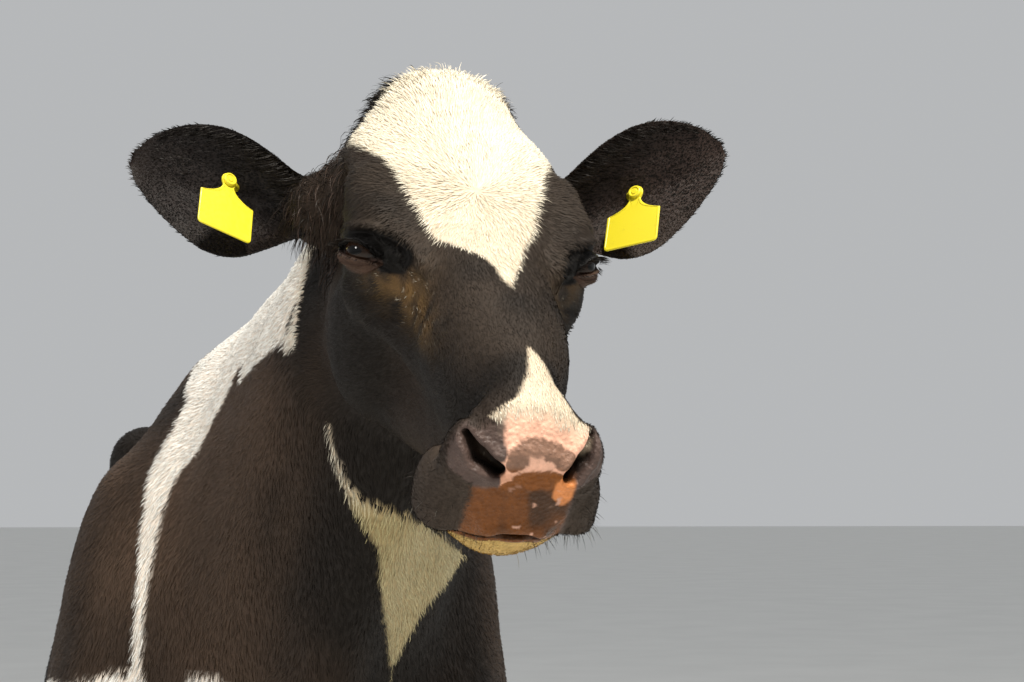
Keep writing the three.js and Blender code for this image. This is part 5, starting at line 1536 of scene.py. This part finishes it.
def turned_form(profile, sectors=28):
    """A round form about the forward axis, from a profile of [radius, forward]."""
    turn = np.arange(sectors) * math.tau / sectors
    rings = [np.stack([r * np.cos(turn), r * np.sin(turn), np.full(sectors, z)], 1) for r, z in profile]
    return lofted(np.array(rings))


def tag_net(name):
    """The parts of one tag: its plate and boss, which hang, and the pin and button through the ear."""
    outline = tag_outline()
    outline = outline[np.r_[True, np.linalg.norm(np.diff(outline, axis=0), axis=1) > 1e-3]]
    middle = outline.mean(0)
    thick = TAG["thick"]
    rings = []
    edge = [
        (-0.9, 0.0), (-0.25, 0.25), (0, 0.6), (0, thick - 0.6), (-0.25, thick - 0.25), (-0.9, thick),
        (-2.4, thick), (-2.9, thick - 0.35),
    ]
    for grow, forward in edge:
        step = outline - middle
        step = step / np.linalg.norm(step, axis=1, keepdims=True)
        rings.append(np.column_stack([outline + step * grow, np.full(len(outline), forward)]))
    plate = lofted(np.array(rings))
    boss = turned_form(BOSS_PROFILE)
    pin = turned_form([(TAG["pin"], BUTTON_PROFILE[0][1] - PLATE_AHEAD), (TAG["pin"], 1.5)], 20)
    button = turned_form([(radius, forward - PLATE_AHEAD) for radius, forward in BUTTON_PROFILE])
    place = [*TAG_PLACE[name], PLATE_AHEAD]
    top = on_ear(name, place)
    across = unit(TAG_HANG[name][0])
    down = np.array(TAG_HANG[name][1])
    down = unit(down - across * (across @ down))
    axes = np.stack([across, -down, np.cross(down, across) * EAR_FORMS[name]["side"]])
    hung = [(points @ axes + top, faces) for points, faces in (plate, boss)]
    return hung + [(on_ear(name, points + place), faces) for points, faces in (pin, button)]


# ---------- the pieces ----------
SEEDS = {"coat": 7, "ears": 21, "lashes": 3, "long_hair": 5}
HAIRS = {"topknot": 3000, "ear": 2600, "ear_root": 1900, "switch": 1500, "whiskers": 420}
SHORTEST_TOPKNOT = 12
EAR_COAT = {"spacing": 2.3, "length": 7.0, "width": 0.9}


def material_named(name, make):
    return bpy.data.materials.get(name) or make()


def hair_piece(name, mesh, nodes=()):
    finish_object(name, mesh, material_named("strand_hair", hair_material), nodes)


def make_skin():
    """One skin over the body, the head and both ears, with its colours."""
    mesh = build_skin()
    ears = [ear_net(name) for name in EAR_FORMS]
    bm = bmesh.new()
    bm.from_mesh(mesh)
    inner = [np.zeros(len(mesh.vertices))]
    for points, quads, inside in ears:
        ear = mesh_of("ear", points, quads)
        bm.from_mesh(ear)
        bpy.data.meshes.remove(ear)
        inner.append(inside)
    bm.to_mesh(mesh)
    bm.free()
    mesh.shade_smooth()
    mesh["body_points"] = len(inner[0])
    inner = np.concatenate(inner)
    points = points_of(mesh)
    bare = bareness(points) * (inner == 0)
    colour = skin_colour(points, bare)
    colour[mesh["body_points"]:] = chosen("black_coat")
    # Painted shade: the right ear's cup is painted darker than the left's.
    cup = EAR_CUP * np.where(into_head(points)[:, :1] > 0, 1.0, 0.4)
    colour = np.where(inner[:, None] > 0, cup, colour)
    paint(mesh, colour)
    note(mesh, np.maximum(bare, 0.5 * inner), "bare")
    finish_object("skin", mesh, skin_material(), FLESH_NODES)


REGIONS = {
    "head": lambda x, y, z, on_face, s: on_face,
    "neck": lambda x, y, z, on_face, s: (s > 240) & (y < -120) & (z > 900),
    "shoulders": lambda x, y, z, on_face, s: (y < 330) & (z > 700),
    "forelegs": lambda x, y, z, on_face, s: (y < 330),
    "tail": lambda x, y, z, on_face, s: (y > 1492) & (z < 1335),
    "hind_shanks": lambda x, y, z, on_face, s: (z < 620),
    "rump": lambda x, y, z, on_face, s: (y > 1000),
    "barrel": lambda x, y, z, on_face, s: y > -1e9,
}
MOST_TUFTS = 64000  # in a piece of the coat


def make_coat():
    """Tufts over the whole body, cut into pieces by region and then from right to left."""
    draws = np.random.default_rng(SEEDS["coat"])
    mesh = bpy.data.objects["skin"].data
    short = coat_material()
    root, normal = roots_on(mesh, draws, mesh["body_points"])
    h = into_head(root)
    on_face = (root[:, 1] < HEAD_Y) & (h[:, 1] < 10) & (h[:, 2] > -310)
    keep = (bareness(root) < draws.uniform(0.15, 0.6, len(root))) & (root[:, 2] > 60)
    keep &= ~((udder_depth(root) > -8) & (root[:, 2] < 520))
    root, normal, on_face = root[keep], normal[keep], on_face[keep]
    lie = lie_of(root, normal)
    lie /= np.maximum(np.linalg.norm(lie, axis=1, keepdims=True), 1e-6)
    stray = 0.26 * wander(root, 34, 18) + 0.16 * wander(root, 9, 19) + draws.normal(0, 0.10, len(root))
    lie = turn_about(lie, normal, stray)
    left = np.ones(len(root), bool)
    along_neck = (root - NECK_LOW) @ NECK_ALONG
    for region, where in REGIONS.items():
        here = left & where(*root.T, on_face, along_neck)
        left &= ~here
        rows = np.flatnonzero(here)
        rows = rows[np.argsort(root[rows, 0], kind="stable")]
        parts = max(1, math.ceil(len(rows) / MOST_TUFTS))
        for i, some in enumerate(np.array_split(rows, parts)):
            name = f"coat_{region}_{i + 1}" if parts > 1 else f"coat_{region}"
            coat_piece(name, root[some], normal[some], lie[some], short, draws)


def make_ear_hair():
    """Short hair over the back of each ear and longer hair along its rim and in its cup."""
    draws = np.random.default_rng(SEEDS["ears"])
    short = material_named("short_coat", coat_material)
    count = HAIRS["ear"]
    for name, form in EAR_FORMS.items():
        points, quads, _ = ear_net(name)
        mesh = mesh_of("ear", points, quads)
        root, normal = roots_on(mesh, draws, spacing=EAR_COAT["spacing"])
        axes = ear_axes(name)
        direction = (axes[0] * (form["side"], 1, 1)) @ HEAD_AXES.T
        lie = direction - normal * (normal @ direction)[:, None]
        lie /= np.maximum(np.linalg.norm(lie, axis=1, keepdims=True), 1e-6)
        lie = turn_about(lie, normal, 0.3 * wander(root, 20, 22) + draws.normal(0, 0.15, len(root)))
        brown = smooth(0, 0.8, wander(root, 40, 35))[:, None]
        # The tone darkens the ear's short hair; the right ear's lower tone paints shade.
        colour = mix(chosen("black_coat"), chosen("brown_coat"), brown) * form["tone"]
        size = EAR_COAT["length"], EAR_COAT["width"]
        piece = coat_piece(f"coat_ear_{name}", root, normal, lie, short, draws, size, colour)
        bpy.data.meshes.remove(mesh)
        # long hair from the lower and upper rim, and from deep in the cup
        places = draws.uniform(2, 158, count)
        rows = curve_through(EAR_ROWS[:, 0], EAR_ROWS[:, 1:], places)
        by_rim = draws.random(count) < 0.62
        rim_place = draws.choice([-1, 1], count) * draws.uniform(0.78, 0.99, count)
        s = np.where(by_rim, rim_place, draws.uniform(-0.8, 0.8, count))
        above, below, _, cup, rim = rows.T
        local = np.stack([places, s * np.where(s > 0, above, below), rim - cup * (1 - s * s)], 1)
        root = on_ear(name, local)
        to_tip, across, ahead = (axes * (form["side"], 1, 1)) @ HEAD_AXES.T
        first = ahead * 0.8 + across * (-s * 0.8)[:, None] + to_tip * 0.5
        then = to_tip + ahead * 0.25 + across * (-s * 0.3)[:, None] + [0, 0, -0.15]
        tag_along, tag_up = TAG_PLACE[name]
        clear = (np.abs(places - tag_along) > 40) | (local[:, 1] > tag_up + 14)
        length = draws.uniform(7, 20, count) * mix(0.35, 1.0, smooth(150, 60, places))
        length = length * np.where(clear, 1.0, 0.3) * mix(0.22, 1.0, smooth(-0.75, 0.1, s))
        paths = falling(root, first, then, length, 6, 0.18, draws)
        colour = np.tile(chosen("black_coat") * 0.8, (count, 1)) * draws.uniform(0.7, 1.5, (count, 1))
        hair = strands(f"ear_hair_{name}", paths, draws.uniform(0.35, 0.7, count), colour, draws)
        hair_piece(f"ear_hair_{name}", hair)


# The lashes of the upper and the lower lid: "side" is +1 above the opening, "high" the lid's share of its
# height, "off" how far from the lid they start, "leave" and "bend" how far up they point at first and later,
# and "share" their share of the full length.
LASHES = [
    {"count": 150, "side": 1, "high": 1.0, "off": 1.0, "leave": 0.25, "bend": -0.35, "share": 1.0},
    {"count": 60, "side": -1, "high": 0.84, "off": 0.2, "leave": -0.5, "bend": -0.9, "share": 0.5},
]


def make_lashes(name, side, draws):
    roots, first, then, length = [], [], [], []
    for lid in LASHES:
        count = lid["count"]
        turn = draws.uniform(0.12, math.pi - 0.12, count) * lid["side"]
        e = draws.uniform(1.02, 1.10, count)
        a = EYE_LONG * np.cos(turn) * e
        b = EYE_HIGH * np.sin(turn) * e * lid["high"]
        b = b + 0.07 * a - 0.006 * a * a
        lean = np.cos(turn)
        roots.append(np.stack([a, b, lid_height(a, b) + lid["off"]], 1))
        first.append(np.stack([0.1 * lean, np.full(count, lid["leave"]), np.ones(count)], 1))
        then.append(np.stack([0.45 * lean, np.full(count, lid["bend"]), np.full(count, 0.9)], 1))
        length.append(draws.uniform(6, 12, count) * lid["share"])
    roots, first, then, length = (np.concatenate(v) for v in (roots, first, then, length))
    paths = falling(roots, first, then, length, 7, 0.06, draws)
    paths = out_of_head(from_eye(paths.reshape(-1, 3), side)).reshape(paths.shape)
    colour = np.tile(chosen("black_coat") * 0.9, (len(roots), 1))
    lashes = strands(f"lashes_{name}", paths, draws.uniform(0.3, 0.5, len(roots)), colour, draws)
    hair_piece(f"lashes_{name}", lashes)


def make_eyes():
    wet = eye_material()
    draws = np.random.default_rng(SEEDS["lashes"])
    for name, side in (("left", 1), ("right", -1)):
        finish_object(f"eyeball_{name}", eyeball(side), wet, [f"eye_{name}"])
        make_lashes(name, side, draws)


def make_topknot(points, normals, h, draws):
    """Hair that falls forward over the crown and parts to both sides."""
    here = (points[:, 1] < FACE_Y) & (-h[:, 1] > -36) & (-h[:, 1] < 22)
    here &= (np.abs(h[:, 0]) < 80) & (h[:, 2] > -60)
    some = draws.choice(np.flatnonzero(here), HAIRS["topknot"])
    count = len(some)
    root = points[some] + draws.normal(0, 1.6, (count, 3)) - normals[some] * 2
    lie = lie_of(root, normals[some])
    spread = into_head(root)[:, :1] / 70 * HEAD_AXES[:, 0]
    first = normals[some] * 0.5 + lie * 0.8 + spread * 0.4 + draws.normal(0, 0.22, (count, 3))
    then = lie + spread * 0.4 + [0, 0, -0.25] + draws.normal(0, 0.2, (count, 3))
    longest = settings().topknot_length * 1000
    share = mix(1, 0.5, smooth(-12, 22, -into_head(root)[:, 1]))
    length = draws.uniform(SHORTEST_TOPKNOT, longest, count) * share
    paths = falling(root, first, then, length, 7, 0.16, draws)
    widths = draws.uniform(0.4, 0.9, count)
    hair_piece("topknot", strands("topknot", paths, widths, coat_colour(root), draws, 0.85), ["poll_tuft"])


def make_ear_root_hair(points, normals, h, on_body, draws):
    """Shaggy hair that hangs below the root of each ear."""
    here = (points[:, 1] < -440) & (np.abs(h[:, 0]) > 74) & (-h[:, 1] > -12) & (-h[:, 1] < 96)
    here &= (h[:, 2] > -150) & (h[:, 2] < -30) & on_body
    some = draws.choice(np.flatnonzero(here), HAIRS["ear_root"])
    count = len(some)
    first = normals[some] * 0.5 + [0, 0, -0.3] + draws.normal(0, 0.2, (count, 3))
    then = normals[some] * 0.1 + [0, 0, -1.0] + draws.normal(0, 0.14, (count, 3))
    length = draws.uniform(14, 34, count)
    paths = falling(points[some] - normals[some], first, then, length, 7, 0.12, draws)
    colour = mix(chosen("black_coat"), SHAG_BROWN, draws.random((count, 1)) ** 2.5)
    widths = draws.uniform(0.4, 0.8, count)
    hair_piece("ear_root_hair", strands("ear_root_hair", paths, widths, colour, draws, 0.7))


def make_tail_switch(draws):
    """Long locks that leave the end of the tail, swell and draw together again."""
    count = HAIRS["switch"]
    turn, start = draws.uniform(0, math.tau, count), draws.random(count) ** 1.4
    top = mix(TAIL_END + 26, TAIL_END - 150, start)
    bottom = SWITCH_END - 44 + 130 * draws.random(count) ** 1.5
    t = np.linspace(0, 1, 13)[None]
    z = mix(top[:, None], bottom[:, None], t)
    down = np.clip((TAIL_END - z) / (TAIL_END - SWITCH_END), 0, 1)
    middle = np.stack([mix(-18, -22, down), TAIL_ROOT_Y + mix(50, 46, down**2)], 2)
    bulge = mix(11, draws.uniform(10, 37, count)[:, None], np.sin(np.pi * mix(0.05, 0.86, t)) ** 0.8)
    curl = draws.uniform(0, math.tau, (count, 1)) + t * draws.uniform(2, 9, (count, 1))
    heading = turn[:, None] + 0.22 * np.sin(curl)
    out = np.stack([np.cos(heading), np.sin(heading)], 2) * (bulge + 1.6 * np.sin(curl * 1.7) * t)[..., None]
    paths = np.concatenate([middle + out, z[..., None]], 2)
    colour = np.tile(chosen("white_coat") * SWITCH_STAIN, (count, 1))
    switch = strands("tail_switch_hair", paths, draws.uniform(0.9, 2.0, count), colour, draws)
    hair_piece("tail_switch_hair", switch, ["tail_switch"])


def make_whiskers(points, normals, h, draws):
    """Short stiff hairs round the lips and chin."""
    here = (points[:, 1] < FACE_Y) & (-h[:, 1] > 408) & (-h[:, 1] < 512) & (h[:, 2] < -104) & (h[:, 2] > -190)
    count = HAIRS["whiskers"]
    some = draws.choice(np.flatnonzero(here), count)
    length = draws.uniform(5, 16, count)
    first = normals[some] + np.array([0, -0.3, 0]) @ HEAD_AXES.T
    then = normals[some] * 0.7 + [0, 0, -0.7]
    paths = falling(points[some], first, then, length, 6, 0.08, draws)
    is_dark = draws.random((count, 1)) < 0.8
    colour = np.where(is_dark, chosen("black_coat") * 1.2, chosen("white_coat") * 0.4)
    hair_piece("whiskers", strands("whiskers", paths, draws.uniform(0.22, 0.42, count), colour, draws))


def make_long_hair():
    draws = np.random.default_rng(SEEDS["long_hair"])
    skin = bpy.data.objects["skin"].data
    points, normals = points_of(skin), normals_of(skin)
    h = into_head(points)
    on_body = np.arange(len(points)) < skin["body_points"]
    make_topknot(points, normals, h, draws)
    make_ear_root_hair(points, normals, h, on_body, draws)
    make_tail_switch(draws)
    make_whiskers(points, normals, h, draws)


# The middle of each foot, and how far back its pastern reaches.
LEGS = {"foreleg": (FORE_FOOT, 30), "hindleg": (HIND_FOOT, 1413)}


def make_hooves():
    horn = horn_material()
    for leg, (foot, back) in LEGS.items():
        for name, side in (("left", 1), ("right", -1)):
            nets, nodes = [], []
            for which, outward in (("outer", 1), ("inner", -1)):
                nets += [claw_net(foot, outward, side), dewclaw_net(foot, back, outward, side)]
                nodes += [f"claw_{leg}_{name}_{which}", f"dewclaw_{leg}_{name}_{which}"]
            mesh = joined_mesh(f"hooves_{leg}_{name}", nets)
            mesh.shade_smooth()
            finish_object(mesh.name, mesh, horn, nodes)


def make_tags():
    plastic = tag_material(settings().tag_colour)
    for name in EAR_FORMS:
        mesh = joined_mesh(f"tag_{name}", tag_net(name))
        mesh.set_sharp_from_angle(angle=math.radians(22))
        finish_object(mesh.name, mesh, plastic, [f"ear_tag_{name}"])


# ---------- the stage ----------
# The camera's place and its turn to the right in degrees. Its focal length, the frame's width and the height
# of the frame's middle over the horizon are in points of the frame.
CAMERA = {"at": [20, -2548, 1265], "yaw": 6.0, "focus": 2100, "width": 1024, "above_horizon": 157}
SENSOR = 36
FLOOR_REACH = 90
SURROUND_COLOUR = (0.94, 0.96, 0.98, 1)
LAMP_AIM = Vector((0, -0.5, 1.1))
# Each lamp's place, width, power and colour.
LAMPS = {
    "key": ((1.3, -3.1, 5.8), 1.3, 490, (1, 0.945, 0.85)),
    "fill": ((-4.6, -3.6, 3.0), 1.0, 92, (1, 0.97, 0.93)),
    "rim": ((-2.5, 4.5, 4.4), 3.0, 50, (1, 0.96, 0.9)),
}


def make_stage():
    scene = bpy.context.scene
    values = settings()
    bm = bmesh.new()
    bmesh.ops.create_grid(bm, x_segments=24, y_segments=24, size=FLOOR_REACH)
    bmesh.ops.translate(bm, verts=bm.verts, vec=(0, 0, -0.0005))
    mesh = bpy.data.meshes.new("floor")
    bm.to_mesh(mesh)
    bm.free()
    mesh.shade_smooth()
    floor = bpy.data.objects.new("floor", mesh)
    scene.collection.objects.link(floor)
    mesh.materials.append(floor_material(values.floor_colour))

    scene.view_settings.view_transform = "Standard"
    scene.world = bpy.data.worlds.new("studio")
    scene.world.use_nodes = True
    background = scene.world.node_tree.nodes["Background"]
    background.inputs["Color"].default_value = SURROUND_COLOUR
    background.inputs["Strength"].default_value = values.surround
    for name, (place, size, power, colour) in LAMPS.items():
        light = bpy.data.lights.new(name, "AREA")
        light.shape = "DISK"
        light.size = size
        light.energy = power * values.light
        light.color = colour
        lamp = bpy.data.objects.new(name, light)
        lamp.location = place
        lamp.visible_glossy = name != "rim"
        lamp.rotation_euler = (LAMP_AIM - Vector(place)).to_track_quat("-Z", "Y").to_euler()
        scene.collection.objects.link(lamp)

    lens = bpy.data.cameras.new("camera")
    lens.sensor_width = SENSOR
    lens.lens = CAMERA["focus"] / CAMERA["width"] * SENSOR
    camera = bpy.data.objects.new("camera", lens)
    camera.location = to_part(np.array(CAMERA["at"], float))
    pitch = math.atan(CAMERA["above_horizon"] / CAMERA["focus"])
    camera.rotation_euler = (math.radians(90) + pitch, 0, -math.radians(CAMERA["yaw"]))
    scene.collection.objects.link(camera)
    scene.camera = camera


# ---------- the add-on ----------
class CowSettings(bpy.types.PropertyGroup):
    """What a user would change on the cow and its stage."""

    coat_length: bpy.props.FloatProperty(
        name="Coat length", description="Length of the short coat, as a share of its usual length",
        default=1.0, min=0.3, max=1.3, subtype="FACTOR",
    )
    topknot_length: bpy.props.FloatProperty(
        name="Topknot length", description="Length of the longest hairs on the crown",
        default=0.030, min=0.012, max=0.060, subtype="DISTANCE", unit="LENGTH",
    )
    black_coat: bpy.props.FloatVectorProperty(
        name="Black coat", description="Colour of the black hair",
        default=BLACK_COAT, subtype="COLOR", size=3, min=0, max=1,
    )
    # This colour also paints the sheen over the right of the neck and shoulders.
    brown_coat: bpy.props.FloatVectorProperty(
        name="Brown coat", description="Colour of the black hair where the sun has faded it",
        default=BROWN_COAT, subtype="COLOR", size=3, min=0, max=1,
    )
    white_coat: bpy.props.FloatVectorProperty(
        name="White coat", description="Colour of the white hair",
        default=WHITE_COAT, subtype="COLOR", size=3, min=0, max=1,
    )
    tag_colour: bpy.props.FloatVectorProperty(
        name="Tag colour", description="Colour of the ear tags",
        default=(0.73, 0.62, 0.022), subtype="COLOR", size=3, min=0, max=1,
    )
    floor_colour: bpy.props.FloatVectorProperty(
        name="Floor colour", description="Colour of the floor",
        default=(0.72, 0.72, 0.70), subtype="COLOR", size=3, min=0, max=1,
    )
    surround: bpy.props.FloatProperty(
        name="Surround", description="Brightness of the light from all round", default=0.5, min=0
    )
    light: bpy.props.FloatProperty(
        name="Lamps", description="Brightness of the three lamps", default=1.0, min=0, subtype="FACTOR"
    )


class COW_OT_skin(bpy.types.Operator):
    """Build the skin of the body, head and ears in one piece"""

    bl_idname = "cow.skin"
    bl_label = "Skin"

    def execute(self, context):
        make_skin()
        return {"FINISHED"}


class COW_OT_eyes(bpy.types.Operator):
    """Build the eyeballs and their lashes"""

    bl_idname = "cow.eyes"
    bl_label = "Eyes"

    def execute(self, context):
        make_eyes()
        return {"FINISHED"}


class COW_OT_hooves(bpy.types.Operator):
    """Build the claws and dewclaws of the four feet"""

    bl_idname = "cow.hooves"
    bl_label = "Hooves"

    def execute(self, context):
        make_hooves()
        return {"FINISHED"}


class COW_OT_tags(bpy.types.Operator):
    """Build the two ear tags"""

    bl_idname = "cow.tags"
    bl_label = "Ear tags"

    def execute(self, context):
        make_tags()
        return {"FINISHED"}


class COW_OT_coat(bpy.types.Operator):
    """Build the short coat over the body in overlapping tufts"""

    bl_idname = "cow.coat"
    bl_label = "Coat"

    def execute(self, context):
        make_coat()
        return {"FINISHED"}


class COW_OT_ear_hair(bpy.types.Operator):
    """Build the hair on and in the ears"""

    bl_idname = "cow.ear_hair"
    bl_label = "Ear hair"

    def execute(self, context):
        make_ear_hair()
        return {"FINISHED"}


class COW_OT_long_hair(bpy.types.Operator):
    """Build the topknot, the tail switch, the shag by the ears and the whiskers"""

    bl_idname = "cow.long_hair"
    bl_label = "Long hair"

    def execute(self, context):
        make_long_hair()
        return {"FINISHED"}


class COW_OT_stage(bpy.types.Operator):
    """Set out the floor, the lamps, the surround and the camera"""

    bl_idname = "cow.stage"
    bl_label = "Stage"

    def execute(self, context):
        make_stage()
        return {"FINISHED"}


OPERATORS = [
    COW_OT_skin, COW_OT_eyes, COW_OT_hooves, COW_OT_tags, COW_OT_coat, COW_OT_ear_hair, COW_OT_long_hair,
    COW_OT_stage,
]


class COW_PT_panel(bpy.types.Panel):
    """The cow's pieces in the sidebar."""

    bl_label = "Dairy cow"
    bl_idname = "COW_PT_panel"
    bl_space_type = "VIEW_3D"
    bl_region_type = "UI"
    bl_category = "Cow"

    def draw(self, context):
        for name in CowSettings.__annotations__:
            self.layout.prop(context.scene.cow, name)
        for made in OPERATORS:
            self.layout.operator(made.bl_idname)


def register():
    for made in [CowSettings, *OPERATORS, COW_PT_panel]:
        bpy.utils.register_class(made)
    bpy.types.Scene.cow = bpy.props.PointerProperty(type=CowSettings)


def unregister():
    del bpy.types.Scene.cow
    for made in reversed([CowSettings, *OPERATORS, COW_PT_panel]):
        bpy.utils.unregister_class(made)


def main():
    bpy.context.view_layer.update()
    register()
    bpy.ops.cow.skin()
    bpy.ops.cow.eyes()
    bpy.ops.cow.hooves()
    bpy.ops.cow.tags()
    bpy.ops.cow.coat()
    bpy.ops.cow.ear_hair()
    bpy.ops.cow.long_hair()
    bpy.ops.cow.stage()


if __name__ == "__main__":
    main()
